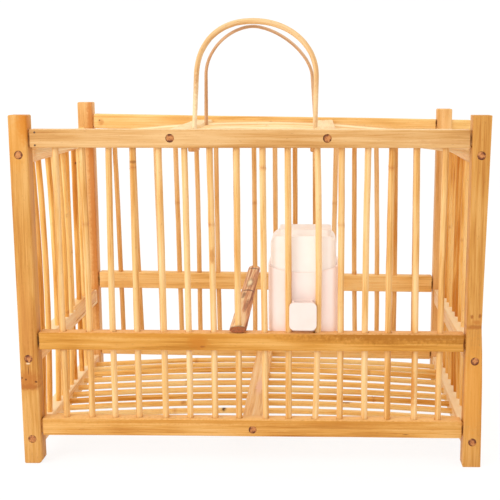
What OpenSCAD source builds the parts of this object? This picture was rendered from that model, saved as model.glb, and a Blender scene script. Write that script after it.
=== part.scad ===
// Bamboo canary breeding cage: a pegged post and rail frame, walls of thin round bars,
// a bowed floor and ceiling of bars, a carrying handle of two bent hoops, a twig perch,
// a hopper feeder clipped between two front bars and a lifting door in the left wall.
// Millimetres, +Z up, front of the cage towards -Y. The origin is under the middle of
// the whole outline, so the body sits a little to the left of it: one rear rail was left
// long and sticks out past the right-hand post.

/* [Frame] */
// Width over the posts
cage_w = 350; // [330:5:400]
// Depth over the posts
cage_d = 224; // [200:4:280]
// Height of the front posts
post_h = 266; // [260:1:276]
// Side of a square post
post_w = 14; // [13:0.5:16]
// How much the rear left post stands above the front ones
rear_left_rise = 4; // [0:0.5:6]
// How much the rear right post stays below the front ones
rear_right_drop = 2; // [0:0.5:4]
// Length of the rail end that sticks out past the rear right post
stub_reach = 18.5; // [10:0.5:30]

/* [Rails] */
// Height of a rail
rail_h = 13.4; // [12.4:0.2:14.4]
// Thickness of a front or rear rail
rail_t = 11; // [10:0.5:12]
// How far a front or rear rail is set back from the post faces
rail_inset = 1.5; // [0.5:0.5:2]
// Centre height of the front top rail
top_rail_z = 249.1; // [247:0.1:251]
// Centre height of the front middle rail
mid_rail_z = 97; // [94:0.5:100]
// Centre height of the front bottom rail
low_rail_z = 29.1; // [28:0.1:30]
// Fall of the rear top rail from its left end to its right end
rear_fall = 4.9; // [0:0.1:6]
// Height of the rear middle rail
rear_mid_h = 15.4; // [13:0.2:16]
// Height of the rear bottom rail
rear_low_h = 11.4; // [11:0.2:13]
// Thickness of a side rail
side_t = 12; // [11:0.5:12]
// How far the side rails lie below the front ones
side_drop = 11.9; // [11.5:0.1:12.5]

/* [Bars] */
// Diameter of a front bar
bar_d = 4.9; // [4.2:0.1:5]
// Diameter of the other bars
thin_bar_d = 4.7; // [4:0.1:4.8]
// How much the ceiling bars bow up at the middle
ceiling_bow = 13.3; // [12:0.1:14]
// How much the floor bars bow up at the middle
floor_bow = 6; // [4:0.5:7]
// Diameter of a peg
peg_d = 6.2; // [5:0.1:6.2]

/* [Handle] */
// Height of the front hoop above the ceiling
hoop_rise = 85.9; // [82:0.1:90]
// Width between the middles of a hoop's legs
hoop_span = 95.6; // [95:0.1:96.4]
// Width of the front hoop's bent strip, front to back
front_strip_w = 5; // [4:0.1:5.4]
// Width of the rear hoop's bent strip, front to back
rear_strip_w = 4.2; // [3.6:0.1:5]
// Thickness of the front hoop's legs
front_strip_t = 4.1; // [3.5:0.1:4.4]
// Thickness of the rear hoop's legs
rear_strip_t = 3.4; // [2.8:0.1:3.8]

/* [Perch and feeder] */
// Width of the perch at its front end
perch_w = 13.6; // [12:0.2:14]
// Thickness of the perch at its front end
perch_t = 5.4; // [5:0.2:6.4]
// Width of the feeder's cup
cup_w = 52.8; // [50:0.2:54]
// Depth of the feeder's cup
cup_d = 42; // [38:1:46]
// Height of the bottle's top above the cup's floor
bottle_h = 75.2; // [72:0.2:84]

/* [Hidden] */

$fn = 48;
snug = 0.05;        // gap round a bar or peg in its hole
slide_fit = 0.1;    // gap round a bar that something slides on

// Frame
half_w = cage_w / 2;
half_d = cage_d / 2;
post_x = half_w - post_w / 2;
inner_x = half_w - post_w;
inner_y = half_d - post_w;
rail_y = half_d - rail_inset - rail_t / 2;
rail_face_y = half_d - rail_inset;
rail_back_y = rail_face_y - rail_t;
tenon_l = 10;
tenon_h = 7;
tenon_t = 6;
stub_h = 9.4;
stub_t = 8;
rear_mid_z = mid_rail_z + 1.9;
rear_low_z = low_rail_z + 1.4;
rear_top_z = top_rail_z + 0.95;
rear_tilt = atan(rear_fall / (2 * inner_x));
rear_mid_tilt = atan(3 / (2 * inner_x));      // the other rear rails slope to the right too
rear_low_tilt = atan(3.6 / (2 * inner_x));
side_x = half_w - post_w / 2;
side_in_x = side_x - side_t / 2;
side_top_z = top_rail_z - side_drop;
side_mid_z = mid_rail_z - side_drop - 0.3;
side_low_z = low_rail_z - side_drop + 2.6;

// Bars
wall_bars = 16;
side_bars = 10;
bar_pitch = 2 * inner_x / (wall_bars + 1);
side_pitch = 2 * inner_y / (side_bars + 1);
left_bar_x = -side_x + 1.5;
right_bar_x = side_x + 2;
bar_seat = 6;          // how deep a bar goes into its end rail
span_seat = 1.6;       // floor and ceiling bars end before the side wall's bars
// Hand-made drift of each front bar from its even place, at its top and at its foot.
// Bar 8 carries the perch and stays upright.
top_drift = [-0.5, 0, 1, -0.5, -0.5, -0.5, -1, 0, 0, -0.5, 2, 1, 1.5, 0, -1, 1];
foot_drift = [0, 0.5, -0.5, -1, 0.5, 0.5, 0.5, 0, 1.5, 0, 1, 1, 1, -0.5, 1, 0];
// The same for the bars of the back wall, and of the floor bars from front to rear
rear_top_drift = [-0.5, -1.5, 0.5, 0.5, 1.5, 1.5, 0.5, -1, 0, 0, 0, 1.5, -0.5, 0.5, 0, 0];
rear_foot_drift = [3, 2.5, 3.5, 3.5, 2.5, 3, 0.5, -1, 0, 0, 0, -1, 2, 4, 1.5, 1.5];
floor_drift = [-0.8, 2, 3.6, 3.3, 2.9, 4.5, 7.2, 7.7, 5.7, 4.8];
// The left wall's bars stand unevenly, with a wide gap after the second and the seventh
left_drift = [-4.8, -5.3, 4.1, 1, -2.1, -5.2, -8.3, -0.6, -1.2, -1.7];
spread_bar = 11;       // the bar that the feeder pushes aside
spread_by = 2;         // how far it bows
perch_bar = 8;

// Floor and ceiling
board_w = 16.4;
board_t = 9;
board_top = top_rail_z + rail_h / 2 - 1.8;
left_board_x = -56.6;
right_board_x = 55.8;
bearer_x = -0.8;
bearer_w = 15;
bearer_t = 9.5;
bearer_top = low_rail_z + 2.4;
ceiling_z = board_top - 3.1;
floor_z = bearer_top - 5.5;
peg_l = 20;
board_peg_l = 18.5;
peg_z = board_top - 4.6;
bearer_peg_z = bearer_top - 3.5;
bearer_peg_d = 6;
rear_bearer_peg_d = 5;

// Handle: each hoop stands in a plane that leans towards the middle. Its legs pass
// between two ceiling bars.
leg_shift = 0.9;       // from half way between two ceiling bars to the middle of a leg
front_leg_y = -inner_y + 3 * side_pitch + leg_shift;
rear_leg_y = -front_leg_y;
rear_hoop_drop = 5;    // how far the rear hoop stays below the front one
front_apex_y = -3.1;
rear_apex_y = 0.6;
leg_depth = board_top - ceiling_z;
front_lean = atan((front_apex_y - front_leg_y) / (hoop_rise + leg_depth));
rear_lean = atan((rear_leg_y - rear_apex_y) / (hoop_rise - rear_hoop_drop + leg_depth));
front_foot_y = front_leg_y + leg_depth * tan(front_lean);
rear_foot_y = rear_leg_y - leg_depth * tan(rear_lean);
hoop_x = -3.3;         // how far the top of the hoops lies to the left
front_spring = 43.8;   // where the legs end and the arch starts
rear_spring = 44.9;
front_lean_out = 0.8;  // how far the legs lean outwards up to there
rear_lean_in = 2.7;    // how far the rear legs lean inwards
front_swell = 0.9;     // how much thicker the front strip is at its top
rear_swell = -1;
keeper_w = 7.6;
keeper_d = 15;
keeper_h = 9.5;
hoop_rings = 40;

// Door in the left wall
door_y = 12;           // where the door starts
door_end_y = inner_y - 9;
door_gap = 0.5;
door_h = 12.8;
door_t = 7.6;
door_seat_z = side_mid_z - rail_h / 2 + 3;
door_bar_top = side_top_z + rail_h / 2 + 4;
door_bars_count = 4;
left_long_bars = side_bars - door_bars_count;

// Perch
perch_low_front = mid_rail_z + rail_h / 2 + 0.1;
perch_low_rear = rear_mid_z + rear_mid_h / 2 + 0.4;
perch_l = 2 * rail_face_y - 1;
perch_x = -bar_pitch / 2;
perch_taper = 2;       // how much narrower its rear end is
perch_swell = 1.2;     // how much thicker its rear end is
perch_drift = -1.4;    // how far its rear end lies to the left

// Feeder
cup_wall = 1.3;
cup_front_y = -rail_y + bar_d / 2 + 0.25;
cup_floor = mid_rail_z + rail_h / 2 + 0.1;
cup_rim = 50.4;        // height of the cup's sides
cup_dip = 5.4;         // how far the front of the rim dips
cup_dip_r = 70;
cup_round = 6;
cup_y = cup_front_y + cup_d / 2;
mouth_x = -inner_x + 10.5 * bar_pitch + 0.8;
mouth_w = bar_pitch - bar_d + 1.3;
feeder_x = mouth_x + 0.7;
mouth_z = cup_floor + 2.8;
mouth_h = 21.2;
mouth_plate_w = 20.4;
mouth_plate_round = 4;
mouth_front_y = -rail_face_y - 0.7;
mouth_plate_back = -rail_y - bar_d / 2 - 0.2;
bottle_w = cup_w - 2 * cup_wall - 0.8;
bottle_d = cup_d - 2 * cup_wall - 0.8;
bottle_wall = 1.2;
bottle_foot = 14;      // height of the bottle's body above the cup's floor
bottle_shoulder = 6.7; // radius of the body's upper edges
bottle_cap_w = 39.2;
bottle_cap_h = 4.2;
bottle_cap_shift = 1.4;
bottle_neck_d = 26;
neck_notch = 8;

bamboo = [0.91, 0.70, 0.42];
pale_bamboo = [0.95, 0.80, 0.56];
dark_bamboo = [0.80, 0.53, 0.28];
bark = [0.55, 0.40, 0.28];
plastic = [0.97, 0.88, 0.84];
steel = [0.55, 0.53, 0.50];

// Puts the cage where the origin is under the middle of the whole outline
module placed() {
    translate([-stub_reach / 2, 0, 0]) children();
}

// A box from its lowest to its highest corner
module span(low, high) {
    translate(low) cube(high - low);
}

// A round bar between two points
module rod(a, b, r) {
    d = b - a;
    flat = norm([d[0], d[1]]);
    translate(a)
        rotate([0, atan2(flat, d[2]), atan2(d[1], d[0])])
            cylinder(h = norm(d), r = r);
}

// A round bar between two points of one XZ plane, bowed sideways in a long arc
module bent_rod(a, b, bow, r) {
    d = b - a;
    bend = (d * d / 4 + bow * bow) / (2 * bow);
    sweep = asin(norm(d) / 2 / bend);
    translate((a + b) / 2) rotate([0, atan2(d[0], d[2]), 0])
        translate([bow - bend, 0, 0]) rotate([90, 0, 0]) rotate([0, 0, -sweep])
            rotate_extrude(angle = 2 * sweep, $fn = 360)
                translate([bend, 0]) circle(r, $fn = 48);
}

// A rounded rectangle, exact arcs at its corners
module rounded_rect(w, d, r) {
    square([w, d - 2 * r], center = true);
    square([w - 2 * r, d], center = true);
    for (x = [-1, 1], y = [-1, 1])
        translate([x * (w / 2 - r), y * (d / 2 - r)]) circle(r);
}

// ---- bars ----

function bar_x(i) = -inner_x + bar_pitch * i;
function bar_top_x(i) = bar_x(i) + top_drift[i - 1];
function bar_foot_x(i) = bar_x(i) + foot_drift[i - 1];
function rear_bar_top_x(i) = bar_x(i) + rear_top_drift[i - 1];
function rear_bar_foot_x(i) = bar_x(i) + rear_foot_drift[i - 1];
function side_y(k) = -inner_y + side_pitch * k;
function wall_y(side, k) = side_y(k) + (side < 0 ? left_drift[k - 1] : 0);

// Front bar i, grown by gap for cutting its holes
module front_bar_shape(i, gap = 0) {
    r = bar_d / 2 + gap;
    foot = [bar_foot_x(i), -rail_y, low_rail_z + rail_h / 2 - bar_seat - 2 - gap];
    tip = [bar_top_x(i), -rail_y, top_rail_z - rail_h / 2 + bar_seat + 2 + gap];
    if (i == spread_bar) bent_rod(foot, tip, spread_by, r);
    else rod(foot, tip, r);
}

module front_bar(i) {
    color(bamboo) placed() front_bar_shape(i);
}

module front_bar_holes() {
    for (i = [1:wall_bars]) front_bar_shape(i, snug);
}

module rear_bar_set(gap = 0) {
    for (i = [1:wall_bars])
        rod([rear_bar_foot_x(i), rail_y, rear_low_z + rear_low_h / 2 - bar_seat - gap],
            [rear_bar_top_x(i), rail_y, top_rail_z - rail_h / 2 + bar_seat + 1.5 + gap],
            thin_bar_d / 2 + gap);
}

module rear_bars() {
    color(bamboo) placed() rear_bar_set();
}

// Upright bars of a side wall: long ones, and short ones under the door
module side_bar_set(side, gap = 0) {
    x = side < 0 ? left_bar_x : right_bar_x;
    foot = side_low_z + rail_h / 2 - bar_seat - gap;
    for (k = [1:side_bars])
        rod([x, wall_y(side, k), foot],
            [x, wall_y(side, k), side > 0 || k <= left_long_bars
                ? side_top_z - rail_h / 2 + 4 + gap : door_seat_z - 1 + gap],
            thin_bar_d / 2 + gap);
}

module left_bars() {
    color(bamboo) placed() side_bar_set(-1);
}

module right_bars() {
    color(bamboo) placed() side_bar_set(1);
}

// One left-to-right bar, bent upwards in a long arc that ends in the side rails
module bowed_bar(y, z, bow, gap = 0) {
    bend = (side_in_x * side_in_x + bow * bow) / (2 * bow);
    sweep = asin((side_in_x + span_seat + gap) / bend);
    translate([0, y, z - bend]) rotate([90, 0, 0])
        rotate([0, 0, 90 - sweep])
            rotate_extrude(angle = 2 * sweep, $fn = 360)
                translate([bend, 0]) circle(thin_bar_d / 2 + gap, $fn = 48);
}

// Ceiling bars lie half way between the side wall's bars, floor bars near them
module ceiling_bar_set(gap = 0) {
    for (k = [0:side_bars])
        bowed_bar(side_y(k + 0.5), ceiling_z, ceiling_bow, gap);
}

module floor_bar_set(gap = 0) {
    for (k = [1:side_bars])
        bowed_bar(side_y(k) + floor_drift[k - 1], floor_z, floor_bow, gap);
}

module ceiling_bars() {
    color(pale_bamboo) placed() ceiling_bar_set();
}

module floor_bars() {
    color(pale_bamboo) placed() floor_bar_set();
}

// ---- frame ----

// A front or rear rail along X at its own centre height, with a tenon at each end
module long_rail(y, z, h, trim = 0) {
    span([-inner_x + trim, y - rail_t / 2, z - h / 2],
         [inner_x - trim, y + rail_t / 2, z + h / 2]);
    span([-inner_x - tenon_l, y - tenon_t / 2, z - tenon_h / 2],
         [inner_x + tenon_l, y + tenon_t / 2, z + tenon_h / 2]);
}

// The tenon that goes right through the rear right post and out the other side
module through_tenon(gap = 0) {
    high = rail_h / 2 - 0.2;
    reach = (half_w + stub_reach - high * sin(rear_tilt)) / cos(rear_tilt);
    span([0, rail_y - stub_t / 2 - gap, high - stub_h - gap],
         [reach, rail_y + stub_t / 2 + gap, high + gap]);
}

// Places a shape drawn about the middle of a rear rail, which slopes to the right
module on_slope(z, tilt) {
    translate([0, 0, z]) rotate([0, tilt, 0]) children();
}

module tenon_holes(side, y, z) {
    x = side * (inner_x + tenon_l / 2);
    translate([x, y, z])
        cube([tenon_l + 2 * snug, tenon_t + 2 * snug, tenon_h + 2 * snug], center = true);
}

// A peg driven front to back through a post into the end of a side rail
module peg_at(x, z, end, face_y, l, d = peg_d, gap = 0) {
    y = end < 0 ? -face_y : face_y - l;
    translate([x, y - gap, z]) rotate([-90, 0, 0])
        cylinder(h = l + 2 * gap, r = d / 2 + gap);
}

module post_pegs(side, end, gap = 0) {
    for (z = [side_low_z + 0.1, side_mid_z - 1.3, side_top_z])
        peg_at(side * side_x, z, end, half_d, peg_l, peg_d, gap);
}

module post(side, end, h) {
    low = [side * post_x - post_w / 2, end * (half_d - post_w / 2) - post_w / 2, 0];
    difference() {
        span(low, low + [post_w, post_w, h]);
        if (end < 0) {
            for (z = [low_rail_z, mid_rail_z, top_rail_z]) tenon_holes(side, -rail_y, z);
        } else {
            on_slope(rear_low_z, rear_low_tilt) tenon_holes(side, rail_y, 0);
            on_slope(rear_mid_z, rear_mid_tilt) tenon_holes(side, rail_y, 0);
            on_slope(rear_top_z, rear_tilt)
                if (side > 0) through_tenon(snug);
                else tenon_holes(side, rail_y, 0);
        }
        post_pegs(side, end, snug);
    }
}

module post_front_left() { color(bamboo) placed() post(-1, -1, post_h); }
module post_front_right() { color(bamboo) placed() post(1, -1, post_h); }
module post_rear_left() { color(bamboo) placed() post(-1, 1, post_h + rear_left_rise); }
module post_rear_right() { color(bamboo) placed() post(1, 1, post_h - rear_right_drop); }

module front_rail(z) {
    difference() {
        long_rail(-rail_y, z, rail_h);
        front_bar_holes();
        board_peg_set(snug);
        bearer_peg_set(snug);
        nail_set(snug);
    }
}

module front_top_rail() { color(pale_bamboo) placed() front_rail(top_rail_z); }
module front_mid_rail() { color(bamboo) placed() front_rail(mid_rail_z); }
module front_bottom_rail() { color(bamboo) placed() front_rail(low_rail_z); }

module rear_top_rail() {
    trim = rail_h / 2 * sin(rear_tilt);
    color(bamboo) placed() difference() {
        on_slope(rear_top_z, rear_tilt) {
            span([-inner_x + trim, rail_y - rail_t / 2, -rail_h / 2],
                 [inner_x - trim, rail_y + rail_t / 2, rail_h / 2]);
            span([-inner_x - tenon_l, rail_y - tenon_t / 2, -tenon_h / 2],
                 [0, rail_y + tenon_t / 2, tenon_h / 2]);
            through_tenon();
        }
        rear_bar_set(snug);
        board_peg_set(snug);
    }
}

module rear_rail(z, h, tilt) {
    color(bamboo) placed() difference() {
        on_slope(z, tilt) long_rail(rail_y, 0, h, h / 2 * sin(tilt));
        rear_bar_set(snug);
        bearer_peg_set(snug);
    }
}

module rear_mid_rail() { rear_rail(rear_mid_z, rear_mid_h, rear_mid_tilt); }
module rear_bottom_rail() { rear_rail(rear_low_z, rear_low_h, rear_low_tilt); }

// A side rail along Y between the posts' inner faces
module side_rail(side, z) {
    span([side * side_x - side_t / 2, -inner_y, z - rail_h / 2],
         [side * side_x + side_t / 2, inner_y, z + rail_h / 2]);
}

module left_top_rail() {
    color(bamboo) placed() difference() {
        side_rail(-1, side_top_z);
        side_bar_set(-1, snug);
        ceiling_bar_set(snug);
        door_bar_set(slide_fit);
        post_pegs(-1, -1, snug);
        post_pegs(-1, 1, snug);
    }
}

// The rear part of this rail is cut down to a ledge that the door comes to rest on
module left_mid_rail() {
    color(bamboo) placed() difference() {
        side_rail(-1, side_mid_z);
        side_bar_set(-1, snug);
        span([-side_x - side_t / 2 + 3.8, door_y, door_seat_z],
             [-side_in_x + 1, door_end_y, side_mid_z + rail_h]);
        post_pegs(-1, -1, snug);
        post_pegs(-1, 1, snug);
    }
}

module left_bottom_rail() {
    color(bamboo) placed() difference() {
        side_rail(-1, side_low_z);
        side_bar_set(-1, snug);
        floor_bar_set(snug);
        post_pegs(-1, -1, snug);
        post_pegs(-1, 1, snug);
    }
}

module right_rail(z) {
    difference() {
        side_rail(1, z);
        side_bar_set(1, snug);
        ceiling_bar_set(snug);
        floor_bar_set(snug);
        post_pegs(1, -1, snug);
        post_pegs(1, 1, snug);
    }
}

module right_top_rail() { color(bamboo) placed() right_rail(side_top_z); }
module right_mid_rail() { color(bamboo) placed() right_rail(side_mid_z + 1.5); }
module right_bottom_rail() { color(bamboo) placed() right_rail(side_low_z); }

// ---- cross boards, bearer and their pegs ----

module cross_board(x) {
    difference() {
        span([x - board_w / 2, -rail_back_y, board_top - board_t],
             [x + board_w / 2, rail_back_y, board_top]);
        ceiling_bar_set(snug);
        board_peg_set(snug);
        leg_cuts();
    }
}

module cross_board_left() { color(pale_bamboo) placed() cross_board(left_board_x); }
module cross_board_right() { color(pale_bamboo) placed() cross_board(right_board_x); }

module floor_bearer() {
    color(pale_bamboo) placed() difference() {
        span([bearer_x - bearer_w / 2, -rail_back_y, bearer_top - bearer_t],
             [bearer_x + bearer_w / 2, rail_back_y, bearer_top]);
        floor_bar_set(snug);
        bearer_peg_set(snug);
    }
}

module board_peg_set(gap = 0) {
    for (x = [left_board_x - 0.9, right_board_x + 0.9], end = [-1, 1])
        peg_at(x, peg_z, end, rail_face_y, board_peg_l, peg_d, gap);
}

module bearer_peg_set(gap = 0) {
    peg_at(1, bearer_peg_z, -1, rail_face_y, peg_l - 0.5, bearer_peg_d, gap);
    peg_at(1, bearer_peg_z, 1, rail_face_y, peg_l - 0.5, rear_bearer_peg_d, gap);
}

module board_pegs() { color(dark_bamboo) placed() board_peg_set(); }
module bearer_pegs() { color(dark_bamboo) placed() bearer_peg_set(); }
module front_left_pegs() { color(dark_bamboo) placed() post_pegs(-1, -1); }
module front_right_pegs() { color(dark_bamboo) placed() post_pegs(1, -1); }
module rear_left_pegs() { color(dark_bamboo) placed() post_pegs(-1, 1); }
module rear_right_pegs() { color(dark_bamboo) placed() post_pegs(1, 1); }

// Two brads near the left end of the front top rail
module nail_set(gap = 0) {
    for (z = [-4.9, 4.4])
        translate([-half_w + 19, -rail_face_y - gap, top_rail_z + z])
            rotate([-90, 0, 0]) cylinder(h = 8 + 2 * gap, r = 0.8 + gap);
}

module brad_nails() { color(steel) placed() nail_set(); }

// ---- handle ----

// A hoop's centre line in its own plane: across, and up the slope from the ceiling.
// Straight legs, then an arch whose shoulders are square (n above 2) or flat (n below 2).
// Its top lies at hoop_x; ends and springs give a leg's middle, left one first.
function arch(a, springs, spring, top, n_left, n_right) =
    let (right = cos(a) > 0, n = right ? n_right : n_left, x = right ? springs[1] : springs[0])
    [hoop_x + (x - hoop_x) * pow(abs(cos(a)), 2 / n),
     spring + (top - spring) * pow(abs(sin(a)), 2 / n)];

function hoop_line(ends, springs, spring, top, low, n_left, n_right) = concat(
    [[ends[1], low], [ends[1], 0]],
    [for (i = [0:hoop_rings]) arch(180 * i / hoop_rings, springs, spring, top, n_left, n_right)],
    [[ends[0], 0], [ends[0], low]]);

// Sweeps a strip along a line in the XZ plane, as one closed tube, t thick at its ends
module strip(line, t, swell, w) {
    n = len(line);
    function thick(i) = t + swell * pow(sin(180 * i / (n - 1)), 2);
    c = 0.28;          // how much of each corner is taken off
    section = [[-1, -1 + c], [-1 + c, -1], [1 - c, -1], [1, -1 + c],
               [1, 1 - c], [1 - c, 1], [-1 + c, 1], [-1, 1 - c]];
    function heading(i) = let (d = line[min(i + 1, n - 1)] - line[max(i - 1, 0)])
        d / norm(d);
    points = [for (i = [0:n - 1], s = section)
        let (h = heading(i))
        [line[i][0] + s[0] * thick(i) / 2 * h[1], s[1] * w / 2,
         line[i][1] - s[0] * thick(i) / 2 * h[0]]];
    sides = [for (i = [0:n - 2], k = [0:7], half = [0, 1])
        let (a = 8 * i + k, b = 8 * i + (k + 1) % 8)
        half == 0 ? [a, b, b + 8] : [a, b + 8, a + 8]];
    first = [for (k = [1:6]) [0, k + 1, k]];
    last = [for (k = [1:6]) [8 * (n - 1), 8 * (n - 1) + k, 8 * (n - 1) + k + 1]];
    polyhedron(points, concat(sides, first, last));
}

// Turns a hoop's own plane to lean towards the middle, with its feet on the ceiling
module leaning(x, y, lean) {
    translate([x, y, board_top]) rotate([-lean, 0, 0]) children();
}

front_slope = hoop_rise / cos(front_lean);
rear_slope = (hoop_rise - rear_hoop_drop) / cos(rear_lean);
leg_low = -(board_t + keeper_h - 1) / cos(rear_lean);
leg_ends = [-hoop_span / 2, hoop_span / 2];

module handle_hoop_front() {
    springs = [-hoop_span / 2, hoop_span / 2 + front_lean_out];
    top = front_slope - (front_strip_t + front_swell) / 2;
    color(bamboo) placed() leaning(0, front_foot_y, front_lean)
        strip(hoop_line(leg_ends, springs, front_spring, top, leg_low, 2.24, 2.05),
              front_strip_t, front_swell, front_strip_w);
}

module handle_hoop_rear() {
    springs = [-hoop_span / 2 + rear_lean_in, hoop_span / 2 - rear_lean_in];
    top = rear_slope - (rear_strip_t + rear_swell) / 2;
    color(dark_bamboo) placed() leaning(0, rear_foot_y, -rear_lean)
        strip(hoop_line(leg_ends, springs, rear_spring, top, leg_low, 1.82, 1.66),
              rear_strip_t, rear_swell, rear_strip_w);
}

// The slanted square channels that the four legs pass down
module leg_channels(y, lean, t, w) {
    leaning(0, y, lean)
        for (x = leg_ends)
            translate([x, 0, 0])
                cube([t + 4 * snug, w + 4 * snug, 70], center = true);
}

module leg_cuts() {
    leg_channels(front_foot_y, front_lean, front_strip_t + 0.2, front_strip_w);
    leg_channels(rear_foot_y, -rear_lean, rear_strip_t + 0.2, rear_strip_w);
}

// A block under the board holds the end of each leg
module keeper(x, y) {
    top = board_top - board_t;
    span([x - keeper_w / 2, y - keeper_d / 2, top - keeper_h],
         [x + keeper_w / 2, y + keeper_d / 2, top]);
}

module handle_keepers() {
    depth = board_t + keeper_h / 2;
    color(dark_bamboo) placed() difference() {
        for (x = leg_ends) {
            keeper(x, front_foot_y - depth * tan(front_lean));
            keeper(x, rear_foot_y + depth * tan(rear_lean));
        }
        leg_cuts();
    }
}

// ---- perch ----

// One oval slice of the twig
module perch_slice(x, y, z, w, t) {
    translate([x, y, z + t / 2]) rotate([90, 0, 0])
        linear_extrude(height = 1, center = true)
            hull() for (s = [-1, 1]) translate([s * (w - t) / 2, 0]) circle(t / 2, $fn = 24);
}

module perch() {
    y_end = perch_l / 2 - 0.5;
    color(bark) placed() difference() {
        hull() {
            perch_slice(perch_x, -y_end, perch_low_front, perch_w, perch_t);
            perch_slice(perch_x + perch_drift, y_end, perch_low_rear,
                        perch_w - perch_taper, perch_t + perch_swell);
        }
        translate([bar_x(perch_bar), -rail_y, 0])
            cylinder(h = post_h, r = bar_d / 2 + slide_fit);
        translate([rear_bar_top_x(perch_bar), rail_y, 0])
            cylinder(h = post_h, r = thin_bar_d / 2 + slide_fit);
    }
}

// ---- feeder ----

module cup_body(inset, low, high) {
    translate([feeder_x, cup_y, low]) linear_extrude(height = high - low)
        rounded_rect(cup_w - 2 * inset, cup_d - 2 * inset, cup_round - inset);
}

// The drinking mouth pokes out between two bars and widens in front of them
module mouth_block(inset) {
    low = mouth_z + inset;
    span([mouth_x - mouth_w / 2 + inset, mouth_plate_back - 0.1, low],
         [mouth_x + mouth_w / 2 - inset, cup_front_y + cup_wall / 2, mouth_z + mouth_h - inset]);
}

module mouth_plate() {
    translate([mouth_x + 0.6, mouth_plate_back, mouth_z + mouth_h / 2]) rotate([90, 0, 0])
        linear_extrude(height = mouth_plate_back - mouth_front_y)
            rounded_rect(mouth_plate_w, mouth_h, mouth_plate_round);
}

module feeder_cup() {
    color(plastic) placed() difference() {
        union() {
            cup_body(0, cup_floor, cup_floor + cup_rim);
            mouth_block(0);
            mouth_plate();
        }
        cup_body(cup_wall, cup_floor + cup_wall, cup_floor + cup_rim + 1);
        // the front of the rim dips in a shallow curve
        translate([feeder_x, cup_front_y - 1, cup_floor + cup_rim - cup_dip + cup_dip_r])
            rotate([-90, 0, 0]) cylinder(h = cup_wall + 2, r = cup_dip_r, $fn = 180);
        // the open trough behind the mouth's front wall
        span([mouth_x - mouth_w / 2 + cup_wall, mouth_front_y + cup_wall, mouth_z + cup_wall],
             [mouth_x + mouth_w / 2 - cup_wall, cup_front_y + 2 * cup_wall,
              mouth_z + mouth_h - 4]);
        span([mouth_x - mouth_w / 2 + cup_wall, mouth_front_y + cup_wall, mouth_z + cup_wall],
             [mouth_x + mouth_w / 2 - cup_wall, cup_front_y - 0.6, mouth_z + mouth_h + 1]);
    }
}

// The inverted bottle: a body with round shoulders and a narrower end above them
module bottle_shape(inset) {
    foot = cup_floor + cup_wall + bottle_foot;
    top = cup_floor + cup_wall + bottle_h;
    body_h = top - bottle_cap_h - foot - 2 * inset;
    translate([feeder_x, cup_y, foot + inset]) {
        intersection() {
            linear_extrude(height = body_h)
                rounded_rect(bottle_w - 2 * inset, bottle_d - 2 * inset, cup_round - inset);
            rotate([90, 0, 0]) linear_extrude(height = bottle_d, center = true)
                rounded_rect(bottle_w - 2 * inset, 2 * body_h, bottle_shoulder - inset);
        }
        translate([bottle_cap_shift, 0, 0]) linear_extrude(height = top - foot - 2 * inset)
            rounded_rect(bottle_cap_w - 2 * inset, bottle_d - 10 - 2 * inset, 4);
    }
}

module feeder_bottle() {
    low = cup_floor + cup_wall + snug;
    foot = cup_floor + cup_wall + bottle_foot;
    color(plastic) placed() difference() {
        union() {
            bottle_shape(0);
            translate([feeder_x, cup_y, low])
                cylinder(h = foot - low + 1, d = bottle_neck_d);
        }
        bottle_shape(bottle_wall);
        translate([feeder_x, cup_y, low - 1])
            cylinder(h = foot - low + 4, d = bottle_neck_d - 2 * bottle_wall);
        // flow notches in the foot of the neck
        span([feeder_x - neck_notch / 2, cup_y - bottle_neck_d, low - 1],
             [feeder_x + neck_notch / 2, cup_y + bottle_neck_d, low + neck_notch - 1]);
    }
}

// ---- side door ----

// Door bars rise from the batten and slide through the left top rail
module door_bar_set(gap = 0) {
    for (k = [0:door_bars_count - 1])
        rod([left_bar_x, wall_y(-1, left_long_bars + 1 + k), door_seat_z + 4 - gap],
            [left_bar_x, wall_y(-1, left_long_bars + 1 + k), door_bar_top + 2 * gap],
            thin_bar_d / 2 + gap);
}

module door_batten() {
    color(bamboo) placed() difference() {
        span([-side_in_x - 0.2 - door_t, door_y + door_gap, door_seat_z + 0.1],
             [-side_in_x - 0.2, door_end_y - door_gap, door_seat_z + 0.1 + door_h]);
        door_bar_set(snug);
    }
}

module door_bars() {
    color(bamboo) placed() door_bar_set();
}

post_front_left();
post_front_right();
post_rear_left();
post_rear_right();
front_top_rail();
front_mid_rail();
front_bottom_rail();
rear_top_rail();
rear_mid_rail();
rear_bottom_rail();
left_top_rail();
left_mid_rail();
left_bottom_rail();
right_top_rail();
right_mid_rail();
right_bottom_rail();
cross_board_left();
cross_board_right();
floor_bearer();
front_bar(1);  // front_bar_01
front_bar(2);  // front_bar_02
front_bar(3);  // front_bar_03
front_bar(4);  // front_bar_04
front_bar(5);  // front_bar_05
front_bar(6);  // front_bar_06
front_bar(7);  // front_bar_07
front_bar(8);  // front_bar_08
front_bar(9);  // front_bar_09
front_bar(10);  // front_bar_10
front_bar(11);  // front_bar_11
front_bar(12);  // front_bar_12
front_bar(13);  // front_bar_13
front_bar(14);  // front_bar_14
front_bar(15);  // front_bar_15
front_bar(16);  // front_bar_16
rear_bars();
left_bars();
right_bars();
floor_bars();
ceiling_bars();
front_left_pegs();
front_right_pegs();
rear_left_pegs();
rear_right_pegs();
board_pegs();
bearer_pegs();
brad_nails();
handle_hoop_front();
handle_hoop_rear();
handle_keepers();
perch();
feeder_cup();
feeder_bottle();
door_batten();
door_bars();
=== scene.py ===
import bpy
import math
import random
from mathutils import Matrix, Vector


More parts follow.
